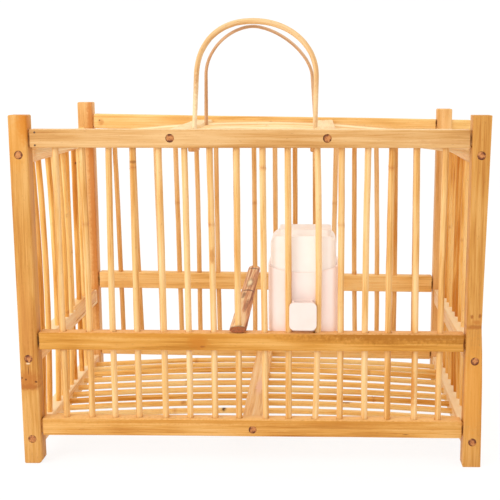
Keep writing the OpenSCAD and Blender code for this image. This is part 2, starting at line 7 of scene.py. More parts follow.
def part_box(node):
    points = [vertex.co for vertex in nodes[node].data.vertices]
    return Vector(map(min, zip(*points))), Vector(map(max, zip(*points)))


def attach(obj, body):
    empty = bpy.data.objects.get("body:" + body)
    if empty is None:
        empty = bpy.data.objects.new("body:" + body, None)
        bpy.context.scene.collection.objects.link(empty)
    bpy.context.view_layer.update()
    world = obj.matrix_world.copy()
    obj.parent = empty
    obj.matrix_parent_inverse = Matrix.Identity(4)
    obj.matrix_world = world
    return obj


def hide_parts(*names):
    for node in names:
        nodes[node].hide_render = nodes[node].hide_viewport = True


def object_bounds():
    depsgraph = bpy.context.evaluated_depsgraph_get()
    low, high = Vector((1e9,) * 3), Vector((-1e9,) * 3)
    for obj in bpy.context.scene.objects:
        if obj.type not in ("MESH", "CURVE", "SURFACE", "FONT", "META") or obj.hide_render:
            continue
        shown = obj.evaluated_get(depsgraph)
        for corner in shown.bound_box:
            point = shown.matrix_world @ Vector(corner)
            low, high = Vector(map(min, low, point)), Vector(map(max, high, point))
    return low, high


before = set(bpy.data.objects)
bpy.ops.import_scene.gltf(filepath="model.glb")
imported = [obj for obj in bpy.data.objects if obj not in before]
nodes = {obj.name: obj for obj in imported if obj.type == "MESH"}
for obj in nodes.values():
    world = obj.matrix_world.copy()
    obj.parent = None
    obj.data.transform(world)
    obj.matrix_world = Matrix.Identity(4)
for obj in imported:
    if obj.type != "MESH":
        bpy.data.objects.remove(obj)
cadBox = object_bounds()
dice = random.Random(41)
bpy.context.scene.view_settings.view_transform = "Standard"
bpy.context.tool_settings.mesh_select_mode = (True, False, False)
print("frame loaded:", len(nodes), "nodes")


# small tools for picking and shaping

def deselect():
    bpy.ops.object.select_all(action="DESELECT")


def pick(*pieces):
    deselect()
    for piece in pieces:
        piece.select_set(True)
    bpy.context.view_layer.objects.active = pieces[-1]


def openPiece(piece, action="DESELECT"):  # None keeps what is selected in the mesh
    pick(piece)
    bpy.ops.object.mode_set(mode="EDIT")
    if action:
        bpy.ops.mesh.select_all(action=action)


def closePiece():
    bpy.ops.object.mode_set(mode="OBJECT")


def newest(name, scale=(1, 1, 1)):  # the primitive just added, with its place in its mesh
    piece = bpy.context.object
    piece.name = name
    piece.scale = scale
    pick(piece)
    bpy.ops.object.transform_apply()
    return piece


def applyModifiers(piece):
    pick(piece)
    for modifier in list(piece.modifiers):
        bpy.ops.object.modifier_apply(modifier=modifier.name)


def selectCorners(piece, test):  # object mode: selects the corners that pass and what they span
    mesh = piece.data
    for corner in mesh.vertices:
        corner.select = bool(test(corner.co))
    for edge in mesh.edges:
        edge.select = all(mesh.vertices[i].select for i in edge.vertices)
    for face in mesh.polygons:
        face.select = all(mesh.vertices[i].select for i in face.vertices)


def extrude(way):
    bpy.ops.mesh.extrude_region_move(TRANSFORM_OT_translate={"value": way})


def growRings(rings):  # extrudes the selected outline through a list of places and sizes
    for (spot, size), (newSpot, newSize) in zip(rings, rings[1:]):
        extrude(newSpot - spot)
        bpy.ops.transform.resize(value=[b / a for a, b in zip(size, newSize)],
                                 center_override=newSpot)


def facesOut():
    bpy.ops.mesh.select_all(action="SELECT")
    bpy.ops.mesh.normals_make_consistent(inside=False)


def block(name, low, high):
    deselect()
    low, high = Vector(low), Vector(high)
    bpy.ops.mesh.primitive_cube_add(size=1, location=(low + high) / 2)
    return newest(name, high - low)


def rod(name, start, end, radius, sides=24):
    deselect()
    start, end = Vector(start), Vector(end)
    along = end - start
    bpy.ops.mesh.primitive_cylinder_add(
        vertices=sides, radius=radius, depth=along.length, location=(start + end) / 2,
        rotation=along.to_track_quat("Z", "Y").to_euler())
    return newest(name)


def twin(piece, name):  # a copy with its own mesh
    other = piece.copy()
    other.data = piece.data.copy()
    other.name = name
    bpy.context.collection.objects.link(other)
    return other


def joined(name, pieces):
    pick(*pieces)
    if len(pieces) > 1:
        bpy.ops.object.join()
    whole = bpy.context.object
    whole.name = name
    return whole


uneven = {"cutShift": 0.3, "grainStart": 3}


def wander(piece, axis, cuts, drift):  # cuts a piece across and shifts each cut a little
    low = min(corner.co[axis] for corner in piece.data.vertices)
    high = max(corner.co[axis] for corner in piece.data.vertices)
    openPiece(piece)
    for i in range(cuts):
        place, normal = [0, 0, 0], [0, 0, 0]
        part = i + 0.5 + dice.uniform(-uneven["cutShift"], uneven["cutShift"])
        place[axis] = low + (high - low) * part / cuts
        normal[axis] = 1
        bpy.ops.mesh.select_all(action="SELECT")
        bpy.ops.mesh.bisect(plane_co=place, plane_no=normal)
        shift = [dice.uniform(-drift, drift) for _ in range(3)]
        shift[axis] = 0
        bpy.ops.transform.translate(value=shift)
    closePiece()


def softEdges(piece, width, segments=2, angle=35):
    modifier = piece.modifiers.new("soft edges", "BEVEL")
    modifier.width = width
    modifier.segments = segments
    modifier.angle_limit = math.radians(angle)
    applyModifiers(piece)


def carve(piece, *cutters, operation="DIFFERENCE"):
    cutter = joined("cutter", cutters)
    modifier = piece.modifiers.new("carve", "BOOLEAN")
    modifier.operation = operation
    modifier.solver = "EXACT"
    modifier.object = cutter
    applyModifiers(piece)
    bpy.data.objects.remove(cutter)


def weld(piece, *extras):
    carve(piece, *extras, operation="UNION")


def shadeSoft(piece, angle=40):
    pick(piece)
    bpy.ops.object.shade_smooth_by_angle(angle=math.radians(angle))


def keepGrain(piece, axis=2, start=None):  # grain coordinates with the fibres along their Z
    order = [(axis + 1) % 3, (axis + 2) % 3, axis]
    start = start or [dice.uniform(0, uneven["grainStart"]) for _ in range(3)]
    grain = piece.data.attributes.new("grain", "FLOAT_VECTOR", "POINT")
    for item, corner in zip(grain.data, piece.data.vertices):
        item.vector = [corner.co[order[k]] + start[k] for k in range(3)]


def setFigure(piece, name, worth):  # one number per corner that the finish reads
    figure = piece.data.attributes.get(name) or piece.data.attributes.new(name, "FLOAT", "POINT")
    for item, corner in zip(figure.data, piece.data.vertices):
        item.value = worth(corner.co) if callable(worth) else worth


def fit(piece, body, slotName, finish, *replaced):
    piece.data.materials.clear()
    piece.data.materials.append(finish)
    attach(piece, body)
    if replaced:
        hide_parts(*replaced)
    return piece


# finishes

def shade(*rgb):  # a colour as it shows on screen, 0 to 255, to the value that the shader takes
    worths = [part / 255 for part in rgb]
    return [w / 12.92 if w <= 0.04045 else ((w + 0.055) / 1.055) ** 2.4 for w in worths] + [1]


def newFinish(name):
    finish = bpy.data.materials.new(name)
    finish.use_nodes = True
    return finish, finish.node_tree


def feed(tree, socket, worth):  # links an output, or sets a plain value
    if isinstance(worth, bpy.types.NodeSocket):
        tree.links.new(worth, socket)
    else:
        socket.default_value = worth


def step(tree, kind, settings=None, **inputs):  # a new node; i0, i1 ... are inputs by number
    node = tree.nodes.new("ShaderNode" + kind)
    for key, worth in (settings or {}).items():
        setattr(node, key, worth)
    for key, worth in inputs.items():
        feed(tree, node.inputs[int(key[1:]) if key[1:].isdigit() else key], worth)
    return node


def dress(finish, sockets, bump=None, relief=None):  # bump is its strength and depth
    tree = finish.node_tree
    if bump:
        raised = step(tree, "Bump", Strength=bump[0], Distance=bump[1], Height=relief)
        sockets["Normal"] = raised.outputs[0]
    for key, worth in sockets.items():
        feed(tree, tree.nodes["Principled BSDF"].inputs[key], worth)
    return finish


def maths(tree, operation, first, second=0.0, third=0.0):
    return step(tree, "Math", {"operation": operation}, i0=first, i1=second, i2=third).outputs[0]


def weighted(tree, *pairs):  # the sum of outputs, each times its share
    total = 0.0
    for output, share in pairs:
        total = maths(tree, "MULTIPLY_ADD", output, share, total)
    return total


def tint(tree, amount, *pair):  # blends two colours, as outputs or as screen colours
    base, over = [shade(*part) if isinstance(part, tuple) else part for part in pair]
    return step(tree, "Mix", {"data_type": "RGBA"}, i0=amount, i6=base, i7=over).outputs[2]


def remap(tree, worth, low, high, newLow=0.0, newHigh=1.0):
    return step(tree, "MapRange", {"interpolation_type": "SMOOTHSTEP"},
                i0=worth, i1=low, i2=high, i3=newLow, i4=newHigh).outputs[0]


def colourRamp(tree, factor, *stops):  # each stop is a place on the ramp and a colour
    ramp = step(tree, "ValToRGB", i0=factor)
    ends = ramp.color_ramp.elements
    for end, (at, colour) in zip(ends, (stops[0], stops[-1])):
        end.position, end.color = at, shade(*colour)
    for at, colour in stops[1:-1]:
        ends.new(at).color = shade(*colour)
    return ramp.outputs[0]


def attribute(tree, name, output="Fac"):
    return step(tree, "Attribute", {"attribute_name": name}).outputs[output]


def objectPlace(tree):
    return step(tree, "TexCoord").outputs["Object"]


def noise(tree, place, scale, detail=2.0):
    return step(tree, "TexNoise", Vector=place, Scale=scale, Detail=detail).outputs[0]


def grainNoise(tree, grain, size, detail=3.0):  # size is the width and length of a fibre
    across, along = size
    stretch = step(tree, "Mapping", i0=grain, i3=(1 / across, 1 / across, 1 / along))
    return step(tree, "TexNoise", Vector=stretch.outputs[0], Scale=1.0, Detail=detail,
                Roughness=0.55).outputs[0]


# A mark is a stain, knot or node line, or a patch of painted highlight or painted shade: its place
# and reach in mm, its colour and its strength
markLook = {"scale": 420.0, "raggedness": 0.9, "edge": (0.75, 1.45)}


def addMarks(tree, colour, place, marks):
    for at, reach, stainAndPaintedLight, strength in marks:
        at, reach = [worth / 1000 for worth in at], [worth / 1000 for worth in reach]
        off = step(tree, "VectorMath", {"operation": "SUBTRACT"}, i0=place, i1=at)
        unit = step(tree, "VectorMath", {"operation": "DIVIDE"}, i0=off.outputs[0], i1=reach)
        away = step(tree, "VectorMath", {"operation": "LENGTH"}, i0=unit.outputs[0]).outputs[1]
        ragged = noise(tree, place, markLook["scale"], 3.0)
        edge = maths(tree, "MULTIPLY_ADD", ragged, markLook["raggedness"], away)
        colour = tint(tree, remap(tree, edge, *markLook["edge"], strength, 0.0), colour, stainAndPaintedLight)
    return colour


woodTones = {  # dark, body and pale part of each wood
    "post": ((182, 114, 42), (208, 147, 69), (228, 174, 102)),
    "postRear": ((204, 140, 70), (228, 172, 102), (242, 196, 134)),
    "top": ((188, 130, 64), (213, 160, 95), (232, 188, 130)),
    "middle": ((186, 120, 34), (214, 150, 62), (232, 176, 98)),
    "low": ((186, 118, 40), (217, 155, 73), (236, 183, 110)),
    "rear": ((222, 166, 84), (246, 197, 120), (254, 218, 152)),
    "side": ((222, 160, 92), (248, 204, 142), (255, 226, 178)),
    "board": ((226, 168, 98), (247, 206, 144), (253, 224, 172)),
    "bearer": ((220, 156, 88), (248, 202, 134), (254, 222, 172)),
    "bar": ((208, 142, 62), (236, 186, 116), (248, 210, 154)),
    "wallBar": ((204, 128, 40), (243, 186, 98), (254, 216, 146)),
    "floorBar": ((212, 142, 48), (250, 198, 110), (255, 222, 154)),
    "ceilingBar": ((228, 166, 96), (250, 212, 150), (255, 232, 186)),
    "hoopFront": ((204, 148, 90), (228, 184, 126), (240, 206, 156)),
    "hoopRear": ((184, 134, 92), (212, 168, 126), (230, 192, 152)),
    "keeper": ((184, 122, 64), (218, 162, 98), (236, 188, 130)),
}
bambooLook = {
    "fine": (0.00055, 0.022),
    "streak": (0.0026, 0.13),
    "cloud": (0.017, 0.06),
    "pore": (0.0004, 0.0035),
    "shares": (0.55, 0.75, 0.55),  # of fine fibres, streaks and clouds
    "spread": (0.55, 1.3),  # their sum, from the dark tone to the pale one
    "stops": (0.08, 0.46, 0.92),
    "poreFrom": (0.63, 0.74), "poreDepth": 0.45, "poreStain": (150, 92, 44),
    "ringBreaks": (0.3, 0.62), "ringLeast": 0.35, "ringStain": (190, 110, 46),
    "roughDip": 0.07, "roughRise": 0.12, "shine": 0.25, "bump": (0.35, 0.0003),
}


def bambooFinish(name, wood, marks=(), gloss=0.5):
    look = bambooLook
    finish, tree = newFinish(name)
    place = objectPlace(tree)
    grain = attribute(tree, "grain", "Vector")
    fine = grainNoise(tree, grain, look["fine"])
    streak = grainNoise(tree, grain, look["streak"])
    cloud = grainNoise(tree, grain, look["cloud"], 1.0)
    shares = zip((fine, streak, cloud), look["shares"])
    mixed = maths(tree, "ADD", weighted(tree, *shares), attribute(tree, "tone"))
    colour = colourRamp(tree, remap(tree, mixed, *look["spread"]),
                        *zip(look["stops"], woodTones[wood]))
    pores = remap(tree, grainNoise(tree, grain, look["pore"], 2.0), *look["poreFrom"],
                  0.0, look["poreDepth"])
    colour = tint(tree, pores, colour, look["poreStain"])
    breaks = remap(tree, streak, *look["ringBreaks"], 1.0, look["ringLeast"])
    rings = maths(tree, "MULTIPLY", attribute(tree, "ring"), breaks)
    colour = addMarks(tree, tint(tree, rings, colour, look["ringStain"]), place, marks)
    rough = remap(tree, streak, 0.3, 0.7, gloss - look["roughDip"], gloss + look["roughRise"])
    sockets = {"Base Color": colour, "Roughness": rough, "Specular IOR Level": look["shine"]}
    return dress(finish, sockets, look["bump"], weighted(tree, (fine, 0.6), (streak, 0.5)))


pegLook = {
    "specks": (0.00055, 0.004), "patch": (0.0028, 0.01), "rough": 0.62, "bump": (0.4, 0.0003),
    "rim": (108, 50, 16), "rimBreaks": (0.42, 0.58, 1.0, 0.1),
    "tones": ((0.36, (132, 64, 24)), (0.53, (194, 120, 62)), (0.72, (220, 152, 84))),
}


def pegFinish():
    finish, tree = newFinish("bamboo peg end grain")
    grain = attribute(tree, "grain", "Vector")
    specks = grainNoise(tree, grain, pegLook["specks"], 2.0)
    patch = grainNoise(tree, grain, pegLook["patch"], 2.0)
    face = colourRamp(tree, weighted(tree, (specks, 0.6), (patch, 0.5)), *pegLook["tones"])
    breaks = remap(tree, patch, *pegLook["rimBreaks"])
    rim = maths(tree, "MULTIPLY", attribute(tree, "ring"), breaks)
    colour = tint(tree, rim, face, pegLook["rim"])
    return dress(finish, {"Base Color": colour, "Roughness": pegLook["rough"]}, pegLook["bump"],
                 specks)


barkLook = {
    "streak": (0.0019, 0.12), "patch": (0.007, 0.07), "fine": (0.0016, 0.004),
    "tones": ((0.05, (142, 78, 38)), (0.3, (202, 136, 88)), (0.62, (232, 180, 132)),
              (0.9, (246, 216, 168))),
    "spread": (0.36, 0.68), "cutTones": ((142, 78, 38), (170, 90, 44)),
    "rough": (0.62, 0.85), "bump": (0.6, 0.0006),
}
barkMarks = [
    ((-19, 36, 110), (4.6, 26, 10), (140, 84, 40), 0.75),
    ((-19.4, 36, 110), (3, 17, 10), (252, 232, 186), 0.95),
    ((-19.2, 7, 110), (8, 3.4, 20), (112, 58, 26), 0.9),
    ((-21.6, -10, 110), (2.2, 16, 20), (132, 72, 34), 0.8),
    ((-16.8, -45, 110), (1.6, 30, 20), (142, 78, 38), 0.7),
    ((-20, 96, 120), (9, 4, 20), (84, 46, 26), 0.85),
    ((-18.7, -109.5, 100), (14, 4.2, 20), (92, 40, 16), 0.85),
]


def barkFinish():
    finish, tree = newFinish("twig bark")
    grain = attribute(tree, "grain", "Vector")
    streak = grainNoise(tree, grain, barkLook["streak"], 4.0)
    patch = grainNoise(tree, grain, barkLook["patch"], 2.0)
    fine = grainNoise(tree, grain, barkLook["fine"])
    mixed = weighted(tree, (streak, 0.6), (patch, 0.45))
    colour = colourRamp(tree, remap(tree, mixed, *barkLook["spread"]), *barkLook["tones"])
    colour = addMarks(tree, colour, objectPlace(tree), barkMarks)
    pith = tint(tree, remap(tree, fine, 0.4, 0.6), *barkLook["cutTones"])
    colour = tint(tree, attribute(tree, "cut"), colour, pith)
    rough = remap(tree, patch, 0.3, 0.7, *barkLook["rough"])
    return dress(finish, {"Base Color": colour, "Roughness": rough}, barkLook["bump"],
                 weighted(tree, (streak, 0.8), (fine, 0.3)))


# a painted glow stands in for light coming through the thin milky walls; it is weakest on the thick
# drinking plate in front
plasticLook = {
    "cup": {"body": (251, 231, 221), "milk": (253, 236, 227), "passing": 0.1, "through": 0.07,
            "paintedGlowColour": (255, 232, 230), "plate": (-0.1085, -0.1025, 0.004)},
    "bottle": {"body": (251, 239, 230), "milk": (253, 243, 235), "passing": 0.12,
               "through": 0.09, "paintedGlowColour": (248, 252, 250)},
    "hazeScale": 55.0, "speckScale": 900.0, "speck": (176, 156, 140), "speckFrom": (0.74, 0.8),
    "speckDepth": 0.25, "bend": 1.46, "rough": (0.32, 0.46), "bump": (0.12, 0.0004),
}


def plasticFinish(piece):
    look = plasticLook[piece]
    finish, tree = newFinish("pale pink " + piece + " plastic")
    place = objectPlace(tree)
    haze = noise(tree, place, plasticLook["hazeScale"])
    specks = remap(tree, noise(tree, place, plasticLook["speckScale"]), *plasticLook["speckFrom"],
                   0.0, plasticLook["speckDepth"])
    milky = tint(tree, remap(tree, haze, 0.35, 0.65), look["body"], look["milk"])
    # the painted glow, weakest across the drinking plate of the cup
    through = look["through"]
    if "plate" in look:
        front, back, least = look["plate"]
        y = step(tree, "SeparateXYZ", i0=place).outputs[1]
        through = remap(tree, y, front, back, least, through)
    sockets = {
        "Base Color": tint(tree, specks, milky, plasticLook["speck"]),
        "Roughness": remap(tree, haze, 0.3, 0.7, *plasticLook["rough"]),
        "IOR": plasticLook["bend"], "Transmission Weight": look["passing"],
        "Emission Color": shade(*look["paintedGlowColour"]), "Emission Strength": through,
    }
    return dress(finish, sockets, plasticLook["bump"], haze)


nailLook = {"scale": 1500.0, "steel": (112, 84, 60), "rust": (92, 50, 26), "metal": 0.1,
            "rough": (0.35, 0.7)}


def nailFinish():
    finish, tree = newFinish("dull nail steel")
    rust = noise(tree, objectPlace(tree), nailLook["scale"], 3.0)
    colour = tint(tree, remap(tree, rust, 0.42, 0.62), nailLook["steel"], nailLook["rust"])
    rough = remap(tree, rust, 0.4, 0.7, *nailLook["rough"])
    return dress(finish, {"Base Color": colour, "Metallic": nailLook["metal"], "Roughness": rough})


barMarks = [
    ((-94.8, -107, 231.9), (4, 10, 1.6), (150, 84, 30), 0.7),
    ((-136.4, -107, 231.8), (4, 10, 1.2), (170, 104, 44), 0.5),
    ((-37.7, -107, 162), (2.6, 10, 8.5), (196, 126, 52), 0.7),
    ((112.8, -107, 60), (3, 10, 20), (204, 126, 40), 0.7),
]
wallMarks = [
    ((-173.2, -1, 176.5), (4, 3.6, 3.4), (84, 40, 16), 0.95),
    ((-173.2, 43.4, 218), (3, 3, 1.6), (110, 56, 20), 0.9),
    ((-173.2, 26, 209.9), (3, 2.4, 1.4), (150, 84, 34), 0.8),
    ((158.2, 68, 218), (2, 2.2, 8), (110, 58, 22), 0.85),
]
floorMarks = [
    ((-34.8, -60.3, 27), (3.2, 4, 3), (70, 36, 16), 0.95),
    ((-106.2, 4, 27), (8.5, 3, 3), (150, 84, 26), 0.85),
    ((-70.6, -43.6, 27), (4, 4, 3), (186, 118, 52), 0.7),
    ((-144.2, -52, 25), (2.8, 3, 3), (96, 52, 24), 0.85),
    ((95.5, 75, 26), (7.5, 3, 3), (92, 48, 18), 0.9),
    ((64.2, -40.7, 27), (9, 2.8, 3), (146, 90, 40), 0.7),
    ((-155, 41.8, 25), (12, 4, 3), (226, 138, 66), 0.6),
]
hoopMarks = [
    ((-57, -50, 275), (14, 30, 50), (250, 228, 186), 0.85),
    ((38.5, -50, 275), (12, 30, 30), (242, 214, 166), 0.6),
]
bearerMarks = [((-8.5, -12, 31.5), (4.2, 30, 4), (250, 206, 176), 0.85)]
finishes = {
    "bar": bambooFinish("bamboo bar", "bar", barMarks, gloss=0.42),
    "wallBar": bambooFinish("bamboo wall bar", "wallBar", wallMarks, gloss=0.44),
    "floorBar": bambooFinish("bamboo floor bar", "floorBar", floorMarks, gloss=0.46),
    "ceilingBar": bambooFinish("bamboo ceiling bar", "ceilingBar", gloss=0.46),
    "board": bambooFinish("bamboo board", "board"),
    "bearer": bambooFinish("floor bearer bamboo", "bearer", bearerMarks),
    "hoopFront": bambooFinish("pale bent bamboo", "hoopFront", hoopMarks, gloss=0.4),
    "hoopRear": bambooFinish("brown bent bamboo", "hoopRear", gloss=0.42),
    "keeper": bambooFinish("keeper bamboo", "keeper"),
    "peg": pegFinish(),
    "bark": barkFinish(),
    "cup": plasticFinish("cup"),
    "bottle": plasticFinish("bottle"),
    "nail": nailFinish(),
}
print("finishes made:", len(finishes))


# the solids inside a CAD node

def solids(node):  # the corner places of each one
    openPiece(twin(nodes[node], "loose"), "SELECT")
    bpy.ops.mesh.remove_doubles(threshold=0.00001)
    bpy.ops.mesh.separate(type="LOOSE")
    closePiece()
    found = []
    for part in list(bpy.context.selected_objects):
        found.append([corner.co.copy() for corner in part.data.vertices])
        bpy.data.objects.remove(part)
    return found


def islands(node):  # the boxes of the solids, from low to high
    boxes = [[Vector([end(line) for line in zip(*spots)]) for end in (min, max)]
             for spots in solids(node)]
    return sorted(boxes, key=lambda box: [round(box[0][k], 4) for k in (2, 0, 1)])


def barEnds(spots, axis):  # the middles of both ends of a bar
    ends = []
    for edge in (min(s[axis] for s in spots), max(s[axis] for s in spots)):
        near = [s for s in spots if abs(s[axis] - edge) < 0.0006]
        ends.append(sum(near, Vector()) / len(near))
    return ends


def looseEnds(node, axis):  # both end middles and the top of each bar in a node, in order of place
    found = [(*barEnds(spots, axis), max(s.z for s in spots)) for spots in solids(node)]
    return sorted(found, key=lambda f: round(f[0].x + f[1].x, 3) * 10 + f[0].y + f[1].y)


# posts and pegs

post = {
    "trim": 0.0002,  # how far the faces stay inside the sawn size
    "footCut": 0.002, "crookedFootCut": 0.0004,  # knife cuts on the inner edge of a foot
    "edge": 0.0011, "cuts": 6, "drift": 0.0001,
}
peg = {
    "back": 0.0005,  # from the end of the CAD peg to the face before it is domed
    "sides": 28, "slack": 0.0001, "gap": 0.00005, "rim": 0.0019,
    "insets": ((0.0005, 0.00018), (0.0004, 0.00006)), "hollow": 0.0011,
    "hollowDepth": (-0.0001, 0.00005),
}
past = 0.002  # how far a cutter reaches past what it cuts


def pegPiece(low, high, front):  # a peg with its visible end domed and its rim marked
    middle = (low + high) / 2
    near, far = (low.y, high.y) if front else (high.y, low.y)
    inward = 1 if front else -1
    piece = rod("peg", (middle.x, near + inward * peg["back"], middle.z), (middle.x, far, middle.z),
                (high.x - low.x) / 2 - peg["slack"], peg["sides"])
    face = [p for p in piece.data.polygons if abs(p.normal.y + inward) < 0.01][0]
    for item in piece.data.polygons:
        item.select = item.index == face.index
    bpy.context.tool_settings.mesh_select_mode = (False, False, True)
    openPiece(piece, None)
    for thickness, depth in (*peg["insets"], (peg["hollow"], dice.uniform(*peg["hollowDepth"]))):
        bpy.ops.mesh.inset(thickness=thickness, depth=depth)
    closePiece()
    bpy.context.tool_settings.mesh_select_mode = (True, False, False)
    keepGrain(piece, 1)
    setFigure(piece, "ring", lambda co: float(
        math.hypot(co.x - middle.x, co.z - middle.z) > peg["rim"]))
    shadeSoft(piece, 50)
    return piece


def fitPegs(name, node, boxes):
    pegs = [pegPiece(low, high, low.y < 0) for low, high in boxes]
    fit(joined(name, pegs), "cage", "bamboo_peg", finishes["peg"], node)


def pegHoles(piece, boxes):
    holes = []
    for low, high in boxes:
        x, z = (low.x + high.x) / 2, (low.z + high.z) / 2
        holes.append(rod("hole", (x, low.y - past, z), (x, high.y + past, z),
                         (high.x - low.x) / 2 + peg["gap"], peg["sides"]))
    carve(piece, *holes)


# the front right post is thinner under its node, on the outer side: heights and steps inwards
waistSteps = [(0.03, 0.0003), (0.067, 0.0006), (0.09, 0.0008), (0.1045, 0.0009),
              (0.1094, 0.0003), (0.113, 0), (0.15, 0.0001)]


def waist(piece, low, high):
    for place, inward in waistSteps:
        openPiece(piece, "SELECT")
        bpy.ops.mesh.bisect(plane_co=(0, 0, place), plane_no=(0, 0, 1))
        closePiece()
        selectCorners(piece, lambda co: abs(co.z - place) < 0.0001 and co.x > (low.x + high.x) / 2)
        openPiece(piece, None)
        bpy.ops.transform.translate(value=(-inward, 0, 0))
        closePiece()


def postPiece(name, node, pegBoxes):
    low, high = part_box(node)
    trim = Vector((post["trim"], post["trim"], 0))
    piece = block(name, low + trim, high - trim)
    inner = high.x if low.x < 0 else low.x
    crooked = name == "postFrontRight"
    if crooked:
        waist(piece, low, high)
    else:
        wander(piece, 2, post["cuts"], post["drift"])
    selectCorners(piece, lambda co: co.z < 0.0005 and abs(co.x - inner) < 0.002)
    openPiece(piece, None)
    bpy.ops.mesh.bevel(offset=post["crookedFootCut" if crooked else "footCut"], segments=1)
    closePiece()
    softEdges(piece, post["edge"], segments=3)
    pegHoles(piece, pegBoxes)
    keepGrain(piece, 2)
    shadeSoft(piece)
    return piece


postMarks = {
    "FrontLeft": [
        ((-178, -112, 61.5), (13, 20, 3.2), (164, 90, 32), 0.75),
        ((-178, -112, 66.5), (13, 20, 10.5), (184, 108, 40), 0.7),
        ((-182.8, -112, 68.5), (1.1, 4, 0.9), (84, 40, 14), 0.95),
        ((-179.8, -112, 67.3), (1.1, 4, 1), (96, 46, 16), 0.9),
        ((-172.2, -112, 65.4), (1.3, 4, 1.1), (96, 46, 16), 0.9),
        ((-177.7, -112, 74.5), (0.4, 4, 5.5), (110, 52, 18), 0.95),
        ((-177.6, -112, 79.8), (2.4, 4, 1), (252, 224, 184), 0.8),
        ((-171.8, -112, 259), (8, 12, 18), (208, 124, 26), 0.9),
        ((-178, -112, 245), (11, 4, 28), (222, 150, 58), 0.5),
        ((-178, -112, 115), (8, 4, 45), (214, 148, 74), 0.5),
    ],
    "FrontRight": [
        ((158.5, -112, 110), (12, 20, 2.4), (170, 98, 36), 0.75),
        ((155.4, -112, 117.8), (1.6, 10, 2), (164, 92, 34), 0.85),
        ((161.4, -112, 118.6), (1.8, 10, 2.2), (158, 88, 32), 0.85),
        ((159, -112, 113.6), (4.5, 10, 2.2), (190, 116, 46), 0.75),
        ((158.5, -112, 60), (12, 12, 55), (224, 148, 52), 0.55),
        ((152.8, -98, 199.7), (1.2, 2, 2), (255, 240, 214), 0.95),
    ],
    "RearLeft": [
        ((-172.4, 98, 190), (4.8, 12, 200), (206, 128, 58), 0.75),
    ],
}
for wall in ("Front", "Rear"):
    for side in ("Left", "Right"):
        corner = wall.lower() + "_" + side.lower()
        boxes = islands(corner + "_pegs")
        piece = postPiece("post" + wall + side, "post_" + corner, boxes)
        fitPegs("pegs" + wall + side, corner + "_pegs", boxes)
        wood = "post" if wall == "Front" else "postRear"
        finish = bambooFinish("bamboo post" + wall + side, wood, postMarks.get(wall + side, []))
        fit(piece, "cage", "bamboo_post", finish, "post_" + corner)
print("posts and pegs made")


# rails

rail = {
    "shoulder": 0.0009, "sideShoulder": 0.00054,  # gap between the end of a rail and its post
    "tenon": (0.003, 0.004, 0.0048),  # how far it reaches into the post, and half its section
    "sideTenon": (0.003, -0.002, 0.003),  # how far it stays inside the rail's box, and out of it
    "edge": 0.0009, "cuts": 9, "sideCuts": 6, "drift": 0.00012,
    "barHole": 0.00262, "holeDepth": 0.0085, "holeSides": 20,
}
levels = {"Top": "top", "Middle": "mid", "Bottom": "bottom"}
# the rear rails slope to the right: their fall over the span, half height and own middle
rearFalls = {"Top": {"fall": 0.0049, "half": 0.0067, "middle": 0.25005},
             "Middle": {"fall": 0.003, "half": 0.0077}, "Bottom": {"fall": 0.0036, "half": 0.0057}}
rearTop = {"pivot": -0.00925, "span": 0.322, "stubFrom": 0.1, "stubDrop": 0.0002,
           "stubHeight": 0.0094, "stubDepth": 0.008, "stubShort": 0.0004, "stubEdge": 0.0012}
frontBars = [barEnds([corner.co for corner in nodes["front_bar_%02d" % i].data.vertices], 2)
             for i in range(1, 17)]
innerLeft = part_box("post_front_left")[1].x
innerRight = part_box("post_front_right")[0].x


def stubPiece(y, middle):  # the end of the top rail that shows outside its post
    top = middle + rearFalls["Top"]["half"] - rearTop["stubDrop"]
    half = rearTop["stubDepth"] / 2
    stub = block("stub", (rearTop["stubFrom"], y - half, top - rearTop["stubHeight"]),
                 (cadBox[1].x - rearTop["stubShort"], y + half, top))
    softEdges(stub, rearTop["stubEdge"], segments=3)
    return stub


def longRail(name, node, fall, hasStub):
    low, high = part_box(node)
    if fall:
        centre = fall.get("middle", (low.z + high.z) / 2)
        low.z, high.z = centre - fall["half"], centre + fall["half"]
    piece = block(name, (innerLeft + rail["shoulder"], low.y, low.z),
                  (innerRight - rail["shoulder"], high.y, high.z))
    wander(piece, 0, rail["cuts"], rail["drift"])
    softEdges(piece, rail["edge"], segments=3)
    middle = Vector((0, (low.y + high.y) / 2, (low.z + high.z) / 2))
    reach = Vector(rail["tenon"])
    weld(piece, block("tenon", Vector((innerLeft, middle.y, middle.z)) - reach,
                      Vector((innerRight, middle.y, middle.z)) + reach))
    if hasStub:
        weld(piece, stubPiece(middle.y, middle.z))
    if fall:
        pivot = Vector((rearTop["pivot"], 0, middle.z))
        slope = Matrix.Rotation(math.atan(fall["fall"] / rearTop["span"]), 4, "Y")
        piece.data.transform(Matrix.Translation(pivot) @ slope @ Matrix.Translation(-pivot))
    return piece


def barHoles(piece, level, low, high):  # round holes a little wider than the bars
    start, end = low.z - past, high.z + past
    if level == "Top":
        end = low.z + rail["holeDepth"]
    elif level == "Bottom":
        start = high.z - rail["holeDepth"]
    holes = []
    for foot, tip in frontBars:
        way = (tip - foot) / (tip.z - foot.z)
        holes.append(rod("hole", foot + way * (start - foot.z), foot + way * (end - foot.z),
                         rail["barHole"], rail["holeSides"]))
    carve(piece, *holes)
